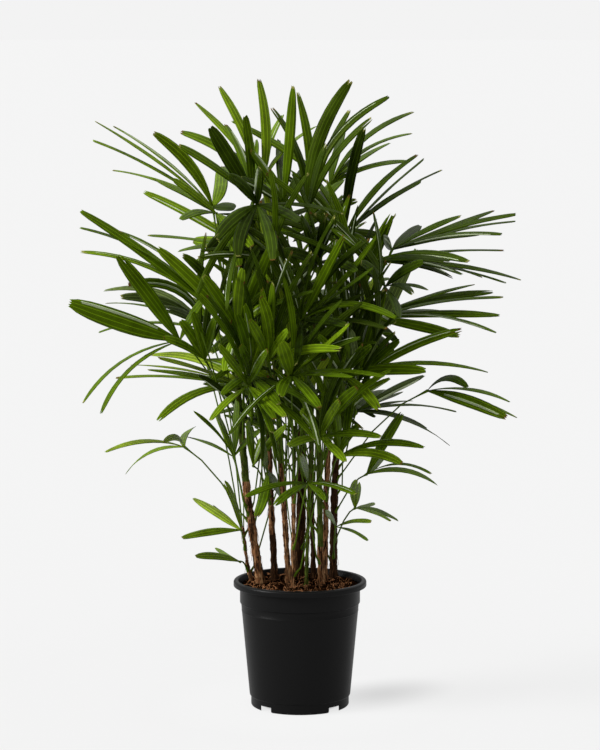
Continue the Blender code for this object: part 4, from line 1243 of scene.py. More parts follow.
def leaf_group():
    """Lengthwise ribs and veins, and a slow change of tone, along each leaflet's own surface places."""
    group, given, result = new_group(
        "leaf_surface", "ShaderNodeTree", (("Color", "Color"), ("Rib", "Float"), ("Veins", "Float")),
        (("Color", "Color"), ("Roughness", "Float"), ("Normal", "Vector")))
    place = put(group, "ShaderNodeUVMap", uv_map="surface").outputs[0]
    across = put(group, "ShaderNodeSeparateXYZ", {0: place}).outputs[0]
    distance = calc(group, "ABSOLUTE", calc(group, "SUBTRACT", calc(group, "PINGPONG", across, 1.0), 0.5))
    rib = ranged(group, distance, (0.0, RIB_WIDTH), (1.0, 0.0))
    vein = calc(group, "SINE", calc(group, "MULTIPLY", across, VEIN_TURN))
    where = put(group, "ShaderNodeTexCoord").outputs["Object"]
    tone = put(group, "ShaderNodeTexNoise", {"Vector": where, "Scale": TONE_SCALE, "Detail": 3.0}).outputs[0]
    level = ranged(group, tone, TONE_BAND, TONE_LEVELS)
    veined = calc(group, "MULTIPLY_ADD", vein, given["Veins"], level)
    lifted = calc(group, "MULTIPLY_ADD", rib, given["Rib"], veined)
    group.links.new(shaded(group, given["Color"], lifted), result["Color"])
    group.links.new(ranged(group, tone, TONE_BAND, GLOSS_LEVELS), result["Roughness"])
    height = calc(group, "MULTIPLY", vein, 0.5)
    bump = put(group, "ShaderNodeBump", {"Strength": 0.6, "Distance": VEIN_RELIEF, "Height": height})
    group.links.new(bump.outputs[0], result["Normal"])
    return group


def fibre_group():
    """Streaks of tone and relief, with their own spacing along each axis."""
    group, given, result = new_group(
        "fibre_surface", "ShaderNodeTree",
        (("Color", "Color"), ("Spacing", "Vector"), ("Contrast", "Float"), ("Relief", "Float")),
        (("Color", "Color"), ("Normal", "Vector")))
    where = put(group, "ShaderNodeTexCoord").outputs["Object"]
    spaced = put(group, "ShaderNodeVectorMath", {0: where, 1: given["Spacing"]}, operation="MULTIPLY")
    grain = put(group, "ShaderNodeTexNoise", {
        "Vector": spaced.outputs[0], "Scale": 1.0, "Detail": 4.0, "Roughness": 0.65}).outputs[0]
    level = calc(group, "MULTIPLY_ADD", calc(group, "SUBTRACT", grain, 0.5), given["Contrast"], 1.0)
    clamped = calc(group, "MAXIMUM", level, 0.12)
    group.links.new(shaded(group, given["Color"], clamped), result["Color"])
    bump = put(group, "ShaderNodeBump", {"Strength": 0.8, "Distance": given["Relief"], "Height": grain})
    group.links.new(bump.outputs[0], result["Normal"])
    return group


def new_material(name, roughness, specular, tint=(1.0, 1.0, 1.0)):
    """A material with its shader and no images."""
    material = bpy.data.materials.new(name)
    material.use_nodes = True
    shader = material.node_tree.nodes["Principled BSDF"]
    shader.inputs["Roughness"].default_value = roughness
    shader.inputs["Specular IOR Level"].default_value = specular
    shader.inputs["Specular Tint"].default_value = (*tint, 1.0)
    return material, shader


def give_surface(material, shader, surface, values, outputs):
    """Place a shared surface in a material with the material's own values."""
    tree = material.node_tree
    node = put(tree, "ShaderNodeGroup", node_tree=surface)
    for label, value in values.items():
        node.inputs[label].default_value = value
    for label in outputs:
        tree.links.new(node.outputs[label], shader.inputs["Base Color" if label == "Color" else label])
    return material


def leaf_material(look, colour, surface):
    """A leaflet's material in one colour of the crown."""
    shine = STREAK_SHINE if look == "gloss" else LEAF_SHINE
    material, shader = new_material("leaf_" + look, roughness=0.3, specular=shine, tint=LEAF_SHEEN)
    rib = DRY_RIB_LIGHT if look in ("straw", "brown") else RIB_LIGHT
    values = {"Color": (*colour, 1.0), "Rib": rib, "Veins": VEIN_LIGHT}
    return give_surface(material, shader, surface, values, ("Color", "Roughness", "Normal"))


def fibre_material(name, colour, spacing, contrast, relief, roughness, specular):
    """A material with streaks or grain in one colour."""
    material, shader = new_material(name, roughness, specular)
    surface = bpy.data.node_groups.get("fibre_surface") or fibre_group()
    values = {"Color": (*colour, 1.0), "Spacing": spacing, "Contrast": contrast, "Relief": relief}
    return give_surface(material, shader, surface, values, ("Color", "Normal"))


def new_maker(name, inputs):
    """An empty geometry node group with a geometry in and out and the given named inputs."""
    return new_group(name, "GeometryNodeTree", GEOMETRY + inputs, GEOMETRY)


def run_maker(name, source, group, values):
    """The mesh that a geometry node group makes from a source object, as an object of its own."""
    modifier = source.modifiers.new(name, "NODES")
    modifier.node_group = group
    for item in group.interface.items_tree:
        if item.in_out == "INPUT" and item.name in values:
            modifier[item.identifier] = values[item.name]
    shown = source.evaluated_get(bpy.context.evaluated_depsgraph_get())
    mesh = bpy.data.meshes.new_from_object(shown)
    source.modifiers.remove(modifier)
    mesh.name = name
    bpy.data.objects.remove(source)
    return new_object(name, mesh)


def sweep_maker():
    """Sweeps a round section along lines whose points carry their radius."""
    group, given, result = new_maker("sweep_lines", (("Sides", "Int"), ("Material", "Material")))
    radius = put(group, "GeometryNodeInputNamedAttribute", {0: "radius"}).outputs[0]
    line = put(group, "GeometryNodeMeshToCurve", {0: given["Geometry"]}).outputs[0]
    ring = put(group, "GeometryNodeCurvePrimitiveCircle", {"Resolution": given["Sides"], "Radius": 1.0})
    swept = put(group, "GeometryNodeCurveToMesh", {
        "Curve": line, "Profile Curve": ring.outputs[0], "Scale": radius, "Fill Caps": True}).outputs[0]
    real = put(group, "GeometryNodeRealizeInstances", {0: swept}).outputs[0]
    smooth = put(group, "GeometryNodeSetShadeSmooth", {0: real}).outputs[0]
    done = put(group, "GeometryNodeSetMaterial", {"Geometry": smooth, "Material": given["Material"]})
    group.links.new(done.outputs[0], result["Geometry"])
    return group


def line_source(name, lines):
    """Open lines of points with a radius each, in millimetres, as a mesh of edges."""
    points = []
    edges = []
    radii = []
    for line in lines:
        first = len(points)
        for point, radius in line:
            points.append(point * MM)
            radii.append(radius * MM)
        edges += [(place, place + 1) for place in range(first, len(points) - 1)]
    mesh = bpy.data.meshes.new(name)
    mesh.from_pydata(points, edges, [])
    layer = mesh.attributes.new("radius", "FLOAT", "POINT")
    layer.data.foreach_set("value", radii)
    return new_object(name, mesh)


def scatter(group, given, result, piece, turns, sizes):
    """Scatter a piece over the surface, turned and sized by chance between two limits, as one mesh."""
    spread = put(group, "GeometryNodeDistributePointsOnFaces", {
        "Mesh": given["Geometry"], "Density": given["Density"], "Seed": given["Seed"]}).outputs[0]
    turn = put(group, "FunctionNodeRandomValue", {0: turns[0], 1: turns[1], "Seed": given["Seed"]},
               data_type="FLOAT_VECTOR").outputs[0]
    placed = put(group, "GeometryNodeInstanceOnPoints", {
        "Points": spread, "Instance": piece, "Rotation": turn, "Scale": sizes}).outputs[0]
    real = put(group, "GeometryNodeRealizeInstances", {0: placed}).outputs[0]
    done = put(group, "GeometryNodeSetMaterial", {"Geometry": real, "Material": given["Material"]})
    group.links.new(done.outputs[0], result["Geometry"])
    return group


def strand_maker():
    """Scatters short curved fibres over a surface, lying along a direction with some disorder."""
    group, given, result = new_maker("scatter_strands", (
        ("Density", "Float"), ("Length", "Float"), ("Thickness", "Float"), ("Bend", "Float"),
        ("Lean", "Float"), ("Seed", "Int"), ("Material", "Material")))
    half = calc(group, "MULTIPLY", given["Length"], 0.5)
    low = put(group, "ShaderNodeCombineXYZ", {2: calc(group, "MULTIPLY", half, -1.0)}).outputs[0]
    high = put(group, "ShaderNodeCombineXYZ", {2: half}).outputs[0]
    side = put(group, "ShaderNodeCombineXYZ", {0: given["Bend"]}).outputs[0]
    line = put(group, "GeometryNodeCurveArc", {"Resolution": 5, "Start": low, "Middle": side, "End": high},
               mode="POINTS").outputs[0]
    ring = put(group, "GeometryNodeCurvePrimitiveCircle", {"Resolution": 3, "Radius": given["Thickness"]})
    fibre = put(group, "GeometryNodeCurveToMesh", {
        "Curve": line, "Profile Curve": ring.outputs[0], "Fill Caps": True}).outputs[0]
    lean = calc(group, "MULTIPLY", given["Lean"], -1.0)
    least = put(group, "ShaderNodeCombineXYZ", {0: lean, 1: lean, 2: -ANY_WAY}).outputs[0]
    most = put(group, "ShaderNodeCombineXYZ", {0: given["Lean"], 1: given["Lean"], 2: ANY_WAY}).outputs[0]
    size = put(group, "FunctionNodeRandomValue", {2: 0.5, 3: 1.3, "Seed": 3}, data_type="FLOAT").outputs[1]
    return scatter(group, given, result, fibre, (least, most), size)


def crumb_maker():
    """Scatters small chips over a surface, turned every way."""
    group, given, result = new_maker("scatter_crumbs", (
        ("Density", "Float"), ("Size", "Float"), ("Seed", "Int"), ("Material", "Material")))
    chip = put(group, "GeometryNodeMeshIcoSphere", {"Radius": given["Size"], "Subdivisions": 1}).outputs[0]
    turns = ((-ANY_WAY, -ANY_WAY, -ANY_WAY), (ANY_WAY, ANY_WAY, ANY_WAY))
    size = put(group, "FunctionNodeRandomValue", {0: (0.4, 0.3, 0.2), 1: (1.6, 0.9, 0.6), "Seed": 3},
               data_type="FLOAT_VECTOR").outputs[0]
    return scatter(group, given, result, chip, turns, size)


class LeafSettings(PropertyGroup):
    """Sizes and colours of the leaflets and stalks."""

    thickness: FloatProperty(
        name="Thickness", description="Thickness of a leaflet", default=0.0006, unit="LENGTH")
    wave: FloatProperty(
        name="Wave", description="How far a leaflet's edges wave", default=0.0008, unit="LENGTH")
    sway: FloatProperty(name="Sway", description="Sideways sway as a share of the length", default=0.012)
    twist: FloatProperty(
        name="Twist", description="Largest twist along a leaflet", default=0.25, unit="ROTATION")
    dry_share: FloatProperty(
        name="Dry tips", description="Share of the leaflets with a dry tip", default=0.5)
    stalk_radius: FloatProperty(
        name="Stalk radius", description="Radius of a frond's stalk", default=0.0014, unit="LENGTH")
    # Deep and dark are the leaves' own dark tones, and where they are dealt to the back and the core they are
    # also painted shade
    deep: FloatVectorProperty(
        name="Deep", description="Darkest leaflets", default=(0.021, 0.038, 0.002), subtype="COLOR")
    dark: FloatVectorProperty(
        name="Dark", description="Dark leaflets", default=(0.037, 0.066, 0.003), subtype="COLOR")
    leaf: FloatVectorProperty(
        name="Leaf", description="Most leaflets", default=(0.078, 0.137, 0.003), subtype="COLOR")
    # Fresh and bright are partly the leaves' own yellow-green and partly painted light, dealt to the fronds
    # on the left toward the key light; bright also stands for painted light shining through leaves
    fresh: FloatVectorProperty(
        name="Fresh", description="Fresh leaflets", default=(0.136, 0.222, 0.006), subtype="COLOR")
    bright: FloatVectorProperty(
        name="Bright", description="Brightest leaflets", default=(0.21, 0.3, 0.018), subtype="COLOR")
    # Painted sheen: a paler grey-green base colour that stands in for light reflected off glossy leaflets
    grey: FloatVectorProperty(
        name="Grey", description="Leaflets with a dull bloom", default=(0.1, 0.14, 0.035), subtype="COLOR")
    # Painted highlight: a pale colour on a streak of faces that stands in for the white highlight of the
    # shine
    gloss: FloatVectorProperty(
        name="Gloss", description="Streaks of shine", default=(0.4, 0.47, 0.3), subtype="COLOR")
    straw: FloatVectorProperty(
        name="Straw", description="Pale tips", default=(0.3, 0.29, 0.08), subtype="COLOR")
    brown: FloatVectorProperty(
        name="Brown", description="Dry tips", default=(0.16, 0.075, 0.02), subtype="COLOR")


class CaneSettings(PropertyGroup):
    """Relief and colours of the canes."""

    relief: FloatProperty(
        name="Relief", description="Height of the bark's relief", default=0.0018, unit="LENGTH")
    sheath_step: FloatProperty(
        name="Sheath step", description="Step at the mouth of each sheath", default=0.0012, unit="LENGTH")
    strand_density: FloatProperty(
        name="Fibres", description="Loose fibres on a square metre", default=9000.0)
    strand_length: FloatProperty(
        name="Fibre length", description="Length of a loose fibre", default=0.016, unit="LENGTH")
    bark: FloatVectorProperty(
        name="Bark", description="Fibrous bark", default=(0.2, 0.09, 0.038), subtype="COLOR")
    dark_bark: FloatVectorProperty(
        name="Dark bark", description="Old dark bark", default=(0.042, 0.02, 0.009), subtype="COLOR")
    sheath: FloatVectorProperty(
        name="Sheath", description="Green sheaths", default=(0.06, 0.085, 0.012), subtype="COLOR")
    dry_edge: FloatVectorProperty(
        name="Dry edge", description="Dry mouths of the sheaths",
        default=(0.33, 0.18, 0.085), subtype="COLOR")


class SoilSettings(PropertyGroup):
    """Relief and colours of the soil."""

    relief: FloatProperty(
        name="Relief", description="Height of the soil's mounds", default=0.004, unit="LENGTH")
    crumb_size: FloatProperty(
        name="Chip size", description="Radius of a coir chip", default=0.0023, unit="LENGTH")
    crumb_density: FloatProperty(name="Chips", description="Chips on a square metre", default=60000.0)
    fibre_length: FloatProperty(
        name="Fibre length", description="Length of a coir fibre", default=0.02, unit="LENGTH")
    fibre_density: FloatProperty(name="Fibres", description="Fibres on a square metre", default=8000.0)
    coir: FloatVectorProperty(
        name="Coir", description="Coir soil", default=(0.004, 0.0016, 0.0006), subtype="COLOR")
    chip: FloatVectorProperty(
        name="Chip", description="Coir chips", default=(0.016, 0.0058, 0.002), subtype="COLOR")
    fibre: FloatVectorProperty(
        name="Fibre", description="Coir fibres", default=(0.38, 0.17, 0.075), subtype="COLOR")


class PotSettings(PropertyGroup):
    """Shape and colour of the nursery pot."""

    lip_round: FloatProperty(
        name="Lip rounding", description="Radius of the rolled lip", default=0.0042, unit="LENGTH")
    edge_round: FloatProperty(
        name="Edge rounding", description="Radius of the bottom edge", default=0.004, unit="LENGTH")
    ring_depth: FloatProperty(
        name="Ring", description="Depth of the faint ring below the collar", default=0.0004, unit="LENGTH")
    roughness: FloatProperty(name="Roughness", description="Roughness of the plastic", default=0.34)
    plastic: FloatVectorProperty(
        name="Plastic", description="Black plastic", default=(0.005, 0.005, 0.0051), subtype="COLOR")


class StageSettings(PropertyGroup):
    """Floor, sky and sun round the plant."""

    floor_size: FloatProperty(name="Floor", description="Width of the floor", default=4000.0, unit="LENGTH")
    floor: FloatVectorProperty(
        name="Floor", description="Colour of the floor", default=(0.28, 0.28, 0.28), subtype="COLOR")
    floor_glow: FloatProperty(
        name="Floor glow", description="The floor's own light as the viewer sees it", default=0.736)
    floor_catch: FloatProperty(
        name="Floor catch", description="Share of the floor's colour that the viewer sees lit", default=0.5)
    # Painted shadow of the pot on the floor: its middle, its half length and half width, its turn, and the
    # light it takes from the floor's glow
    painted_shadow_place: FloatVectorProperty(
        name="Shade place", description="Middle of the pot's soft shade on the floor",
        default=(0.15, 0.08, 0.0), subtype="TRANSLATION", unit="LENGTH")
    painted_shadow_size: FloatVectorProperty(
        name="Shade size", description="Half length and half width of the soft shade",
        default=(0.19, 0.12, 1.0), subtype="TRANSLATION", unit="LENGTH")
    painted_shadow_turn: FloatProperty(
        name="Shade turn", description="Way the soft shade runs", subtype="ANGLE",
        default=math.radians(45.0))
    painted_shadow_depth: FloatProperty(
        name="Shade depth", description="Light that the soft shade takes away", default=0.175)
    floor_bounce: FloatProperty(
        name="Floor bounce", description="The floor's own light on the plant", default=0.2)
    backdrop: FloatProperty(name="Backdrop", description="Brightness behind the plant", default=0.896)
    sky: FloatProperty(name="Sky", description="Brightness of the sky's light", default=0.6)
    sun: FloatProperty(name="Sun", description="Strength of the key light", default=2.45)
    sun_size: FloatProperty(
        name="Sun size", description="Angle across the key light", default=0.5, unit="ROTATION")
    sun_height: FloatProperty(
        name="Sun height", description="Height of the key light", default=0.45, unit="ROTATION")
    sun_turn: FloatProperty(
        name="Sun turn", description="Turn of the key light from the front to the left",
        default=1.25, unit="ROTATION")


# Stalk lines: radii as shares of the stalk's own radius, and steps in millimetres
FOOT_INSIDE = 3.0
FOOT_DROPS = (6.0, 1.0)
FOOT_WIDTHS = (2.2, 1.9)
HUB_WIDTHS = (1.3, 2.0, 1.2)
STALK_CUTS = 4
SPEAR_MIDDLE = 120.0
SPEAR_SWELL = 1.2
SPEAR_WIDTH = 0.75
SPEAR_TIP_WIDTH = 0.2

# Cane skins: how far they stand in from the solid, the waves of the sheaths' mouths, the rings of the
# bark, and the spacing of its relief
SKIN_INSET = 0.4
MOUTH_WAVE = 9.0
MOUTH_TURN_HEIGHT = 70.0
BARK_RING_WAVE = 5.0
BARK_RING_PITCH = 21.0
BARK_RING_WIDTH = 3.0
BARK_RING_SHARE = 0.35
BARK_SPACING = 0.16
BARK_STRETCH = 0.35

# Pot section: rounds, fillets and steps in millimetres
RING_FLAT = 0.6
RING_FOOT = 1.2
RING_FOOT_DIP = 0.1
COLLAR_ROUND = 0.8
LIP_RISE = 3.0
LIP_FILLET = 1.5
LIP_EDGE = 2.0
LIP_EDGE_ROUND = 1.4
LIP_INNER_ROUND = 2.0
INNER_DROP = 9.0
FLOOR_THICKNESS = 2.0
# The turned pot: its sides, and the angle in degrees from which its edges stay sharp
POT_SIDES = 144
POT_SHARP = 32.0
# The bar that cuts two notches: its length, and how far it reaches below the foot
NOTCH_BAR = 2.4 * FOOT_RADIUS
NOTCH_SPARE = 4.0

# Soil mounds: how often they repeat on a millimetre and how high they are, and the body under them
MOUNDS = ((0.045, 0.7), (0.13, 0.5), (0.4, 0.25))
SOIL_SIDES = 72
SOIL_ROWS = 26
SOIL_FADE = 6
SOIL_PEAK = 1.5
SOIL_LIFT = 1.2
SOIL_DIP = 1.0
SOIL_DEPTH = 8.0
# How far the soil's top, its chips and its fibres keep from the pot's wall
SOIL_MARGIN = 0.4
CRUMB_MARGIN = 4.0
FIBRE_MARGIN = 12.0

# Painted light on the floor that the camera sees round the pot, which lifts the floor where the pot and the
# crown shade it: reach in metres, and light next to the pot
PAINTED_NEAR_LIGHT = ((0.1, 0.27), (0.028, 0.0))
PAINTED_WIDE_LIGHT = ((0.1, 0.6), (0.022, 0.0))
# Painted shade under the foot ring: the floor has no glow there, from the first share of the foot's radius to
# the second
PAINTED_FOOT_SHADE = (0.5, 0.8)
SKY_HEIGHTS = (-0.1, 1.0)
SKY_LEVELS = (0.12, 2.1)
WHITE = (1.0, 1.0, 1.0, 1.0)


def leaf_look(name, number, chance):
    """The look of one leaflet of a frond, by its number in the frond."""
    looks = INNER_LOOKS if name.startswith("inner") else OTHER_LOOKS
    first, second = looks[int(name[-2:]) % len(looks)]
    if name in FROND_LOOKS and number < FULL_FROND:
        first, second = FROND_LOOKS[name]
    return second if chance.random() < SECOND_LOOK_CHANCE else first


def stalk_lines(crown, radius):
    """Lines with radii for every stalk: a clasping foot, a slim run and a small swelling at its hub."""
    lines = []
    for paths, _ in crown.values():
        for cane_number, path in paths:
            line = []
            stations = path
            if cane_number is not None:
                start = path[0]
                stations = path[1:]
                heading = Vector((path[1].x - start.x, path[1].y - start.y, 0.0)).normalized()
                inside = start - heading * FOOT_INSIDE - upright(FOOT_DROPS[0])
                line.append((inside, FOOT_WIDTHS[0] * radius))
                line.append((start - upright(FOOT_DROPS[1]), FOOT_WIDTHS[1] * radius))
            for before, after in zip(stations, stations[1:]):
                for step in range(STALK_CUTS):
                    line.append((before.lerp(after, step / STALK_CUTS), radius))
            line[-1] = (line[-1][0], HUB_WIDTHS[0] * radius)
            line.append((path[-1], HUB_WIDTHS[1] * radius))
            beyond = path[-1] + (path[-1] - path[-2]).normalized() * FOOT_INSIDE
            line.append((beyond, HUB_WIDTHS[2] * radius))
            lines.append(line)
    return lines


def spear_lines(radius, chance):
    """Lines with radii for the thin unopened leaves that rise between the canes."""
    lines = []
    for _ in range(SPEARS):
        cane = chance.choice(CANES)
        low = chance.uniform(*SPEAR_FEET)
        if low > cane.top[2] - STALK_BELOW_TIP:
            continue
        heading = level_way(chance.uniform(0.0, 2.0 * math.pi))
        start = cane_centre(cane, low)
        middle = start + heading * chance.uniform(*SPEAR_BULGE) + upright(SPEAR_MIDDLE)
        end = start + heading * chance.uniform(*SPEAR_LEAN)
        end.z += chance.uniform(*SPEAR_RISE)
        line = []
        for step in range(SPEAR_STEPS + 1):
            share = step / SPEAR_STEPS
            width = radius
            if share >= 0.5:
                width *= 1.0 + SPEAR_SWELL * math.sin(math.pi * (share - 0.5) / 0.5)
            width *= SPEAR_WIDTH if share < 1.0 else SPEAR_TIP_WIDTH
            line.append((curve_point(start, middle, end, share), width))
        lines.append(line)
    return lines


def cane_look(cover, centre, out):
    """The look of one place on a cane: bark with darker and paler fibres, or its cover as it is."""
    if cover == "sheath":
        return COVERS.index(cover)
    spot = Vector((out.x * PATCH_TURN + centre.x * PATCH_ACROSS, out.y * PATCH_TURN + centre.y * PATCH_ACROSS,
                   centre.z * PATCH_ALONG))
    tone = noise.noise(spot) + PATCH_FINE[1] * noise.noise(spot * PATCH_FINE[0])
    if cover == "bark" and tone > PATCH_LEVEL:
        return COVERS.index("dry_edge")
    if tone < -PATCH_LEVEL:
        return COVERS.index("dark_bark")
    return COVERS.index(cover)


def sheath_rise(level, turn, step):
    """How far a sheath stands out of its cane at a level, up to the wavy mouth where the next one starts."""
    cycle = (level + MOUTH_WAVE * math.sin(turn)) % SHEATH_PITCH
    return step * (cycle / SHEATH_PITCH - 0.5)


def bark_rise(level, turn, spot, relief):
    """How far bark stands out of its cane at a spot, with a ring now and then."""
    rise = relief * (noise.noise(spot) + BARK_FINE[1] * noise.noise(spot * BARK_FINE[0]))
    if (level + BARK_RING_WAVE * math.sin(turn)) % BARK_RING_PITCH < BARK_RING_WIDTH:
        rise += BARK_RING_SHARE * relief
    return rise


def cane_surface(shape, number, settings, chance):
    """Add one cane's skin: bark with relief, or sheaths with their stepped mouths."""
    cane = CANES[number]
    covers = CANE_COVERS[number]
    top = cane.top[2]
    rings = int((top - SEAT_LEVEL) / RING_STEP)
    offset = chance.uniform(0.0, SHEATH_PITCH)
    turn_start = chance.uniform(0.0, math.pi)
    relief = settings.relief / MM
    first_point = len(shape.points)
    first_face = len(shape.faces)
    for place in range(rings + 1):
        height = SEAT_LEVEL + (top - SEAT_LEVEL) * place / rings
        centre = cane_centre(cane, height)
        radius = cane_radius(cane, height)
        if place == rings:
            radius *= CANE_TIP_SHARE
        cover = next((name for limit, name in covers if height <= limit), covers[-1][1])
        for side in range(RING_SIDES):
            turn = side_turn(side, RING_SIDES)
            out = level_way(turn)
            if place < rings:
                row = first_point + place * RING_SIDES
                following = (side + 1) % RING_SIDES
                shape.faces.append((row + side, row + following, row + RING_SIDES + following,
                                    row + RING_SIDES + side))
                shape.looks.append(cane_look(cover, centre, out))
            if cover == "sheath":
                mouth_turn = turn + turn_start + height / MOUTH_TURN_HEIGHT
                bump = sheath_rise(height + offset, mouth_turn, settings.sheath_step / MM)
            else:
                spot = Vector((centre.x + out.x * radius, centre.y + out.y * radius, height * BARK_STRETCH))
                bump = bark_rise(height + offset, turn + turn_start, spot * BARK_SPACING, relief)
            shape.points.append(centre + out * (radius - SKIN_INSET + bump))
    last = first_point + rings * RING_SIDES
    shape.faces.append(tuple(reversed(range(first_point, first_point + RING_SIDES))))
    shape.faces.append(tuple(range(last, last + RING_SIDES)))
    shape.looks += [COVERS.index(covers[0][1]), COVERS.index(covers[-1][1])]
    shape.turn_out(first_point, first_face)


def lathe(profile, sides):
    """A closed skin turned round the axis from a section that starts and ends on the axis."""
    shape = Shape()
    rows = []
    for radius, height in profile:
        if radius == 0.0:
            rows.append([len(shape.points)] * sides)
            shape.points.append(upright(height))
            continue
        rows.append(list(range(len(shape.points), len(shape.points) + sides)))
        for side in range(sides):
            turn = side_turn(side, sides)
            shape.points.append(Vector((radius * math.cos(turn), radius * math.sin(turn), height)))
    for upper, lower in zip(rows, rows[1:]):
        for side in range(sides):
            following = (side + 1) % sides
            corners = tuple(dict.fromkeys((upper[side], upper[following], lower[following], lower[side])))
            if len(corners) > 2:
                shape.faces.append(corners)
    shape.turn_out(0, 0)
    return shape


def arc(centre, radius, start, end, steps):
    """Points (radius, height) on an arc of the section, with angles in degrees from outward."""
    points = []
    for step in range(steps + 1):
        turn = math.radians(start + (end - start) * step / steps)
        points.append((centre[0] + radius * math.cos(turn), centre[1] + radius * math.sin(turn)))
    return points


def pot_section(settings):
    """The pot's section from the middle of its underside, up the outside and down the inside."""
    roll = settings.lip_round / MM
    edge = settings.edge_round / MM
    dip = settings.ring_depth / MM
    slope = (BODY_TOP_RADIUS - BODY_BOTTOM_RADIUS) / (COLLAR_BOTTOM - COLLAR_STEP - BODY_BOTTOM)
    ring_radius = BODY_BOTTOM_RADIUS + slope * (RING_HEIGHT - BODY_BOTTOM)
    lip_foot = POT_HEIGHT - LIP_DROP
    section = [(0.0, FOOT_HEIGHT), (FOOT_RADIUS - FOOT_WALL, FOOT_HEIGHT), (FOOT_RADIUS - FOOT_WALL, 0.0)]
    section += arc((FOOT_RADIUS - edge, edge), edge, -90.0, 0.0, 5)
    section += [(FOOT_RADIUS, FOOT_TOP)]
    section += arc((BODY_BOTTOM_RADIUS - edge, BODY_BOTTOM + edge), edge, -60.0, 0.0, 5)
    section += [(ring_radius - RING_FOOT_DIP, RING_HEIGHT - RING_FOOT),
                (ring_radius + dip, RING_HEIGHT - RING_FLAT),
                (ring_radius + dip, RING_HEIGHT + RING_FLAT),
                (ring_radius + RING_FOOT_DIP, RING_HEIGHT + RING_FOOT)]
    section += [(BODY_TOP_RADIUS, COLLAR_BOTTOM - COLLAR_STEP)]
    section += arc((COLLAR_RADIUS - COLLAR_ROUND, COLLAR_BOTTOM), COLLAR_ROUND, -60.0, 0.0, 3)
    section += [(COLLAR_RADIUS, lip_foot + LIP_RISE),
                (COLLAR_RADIUS + LIP_FILLET, lip_foot + LIP_RISE + LIP_FILLET)]
    section += [(LIP_RADIUS - LIP_EDGE - LIP_EDGE_ROUND, lip_foot + LIP_RISE)]
    edge_middle = (LIP_RADIUS - LIP_EDGE_ROUND, lip_foot + LIP_EDGE_ROUND)
    section += arc(edge_middle, LIP_EDGE_ROUND, -120.0, 0.0, 5)
    section += arc((LIP_RADIUS - roll, POT_HEIGHT - roll), roll, 0.0, 90.0, 8)
    inner_middle = (LIP_INNER_RADIUS + LIP_INNER_ROUND, POT_HEIGHT - LIP_INNER_ROUND)
    section += arc(inner_middle, LIP_INNER_ROUND, 90.0, 180.0, 5)
    section += [(COLLAR_RADIUS - WALL, POT_HEIGHT - INNER_DROP), (COLLAR_RADIUS - WALL, COLLAR_BOTTOM),
                (BODY_TOP_RADIUS - WALL, COLLAR_BOTTOM - COLLAR_STEP),
                (BODY_BOTTOM_RADIUS - WALL, FOOT_HEIGHT + FLOOR_THICKNESS),
                (0.0, FOOT_HEIGHT + FLOOR_THICKNESS)]
    return section


def cut_notches(pot):
    """Cut the four notches of the foot ring."""
    for quarter in range(2):
        turn = math.radians(NOTCH_TURN + 90.0 * quarter)
        bar = Shape()
        bar.points, bar.faces = box_shape(NOTCH_BAR, NOTCH_WIDTH, -NOTCH_SPARE, NOTCH_HEIGHT, turn)
        cutter = make_piece("notch_cutter", bar, [])
        modifier = pot.modifiers.new("notch", "BOOLEAN")
        modifier.operation = "DIFFERENCE"
        modifier.solver = "MANIFOLD"
        modifier.object = cutter
        shown = pot.evaluated_get(bpy.context.evaluated_depsgraph_get())
        mesh = bpy.data.meshes.new_from_object(shown)
        pot.modifiers.remove(modifier)
        pot.data = mesh
        bpy.data.objects.remove(cutter)


def soil_surface(settings, radius):
    """The soil's top as a closed lens of small mounds."""
    shape = Shape()
    sides = SOIL_SIDES
    rows = SOIL_ROWS
    shape.points.append(upright(SOIL_LEVEL + SOIL_PEAK))
    for row in range(1, rows + 1):
        reach = radius * row / rows
        for side in range(sides):
            turn = side_turn(side, sides)
            spot = Vector((reach * math.cos(turn), reach * math.sin(turn), 0.0))
            rise = sum(noise.noise(spot * often) * high for often, high in MOUNDS)
            fade = 1.0 - (row / rows) ** SOIL_FADE
            height = SOIL_LEVEL + SOIL_LIFT + settings.relief / MM * rise * fade
            shape.points.append(spot + upright(max(height, SOIL_LEVEL - SOIL_DIP)))
    floor = len(shape.points)
    shape.points.append(upright(SOIL_LEVEL - SOIL_DEPTH))
    for side in range(sides):
        following = (side + 1) % sides
        shape.faces.append((0, 1 + side, 1 + following))
        for row in range(rows - 1):
            low = 1 + row * sides
            high = low + sides
            shape.faces.append((low + side, high + side, high + following, low + following))
        last = 1 + (rows - 1) * sides
        shape.faces.append((last + following, last + side, floor))
    shape.turn_out(0, 0)
    return shape


class PALM_OT_fronds(Operator):
    """Grow the stalks and leaflets of every frond"""

    bl_idname = "palm.fronds"
    bl_label = "Fronds"

    def execute(self, context):
        leaf = context.scene.palm_leaf
        surface = leaf_group()
        materials = [leaf_material(look, getattr(leaf, look), surface) for look in LOOKS]
        crown = plan_crown()
        stalk_green = fibre_material(
            "stalk_green", leaf.leaf, spacing=(900.0, 900.0, 60.0), contrast=1.2, relief=0.0002,
            roughness=0.45, specular=0.1)
        chance = random.Random(DRAW_SEED)
        radius = leaf.stalk_radius / MM
        lines = stalk_lines(crown, radius) + spear_lines(radius, chance)
        stalks = run_maker("frond_stalks", line_source("stalk_lines", lines), sweep_maker(),
                           {"Sides": 8, "Material": stalk_green})
        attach(stalks, "root")
        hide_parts(*(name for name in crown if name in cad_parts))
        for side in ("frond_top", "frond_left", "frond_right", "frond_front", "frond_group_back", "inner"):
            shape = Shape()
            names = [name for name in crown if name.startswith(side)]
            for name in names:
                for number, leaflet in enumerate(crown[name][1]):
                    is_hidden = name not in FROND_LOOKS and leaflet.hub.y > 0.0
                    slim = 1.0 if is_hidden else slimness(leaflet)
                    draw_leaflet(shape, leaflet, slim, leaf_look(name, number, chance), chance, leaf)
            made = make_piece("leaflets_" + side.split("_")[-1], shape, materials)
            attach(made, "root")
            if side != "inner":
                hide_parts(*names)
        return {"FINISHED"}


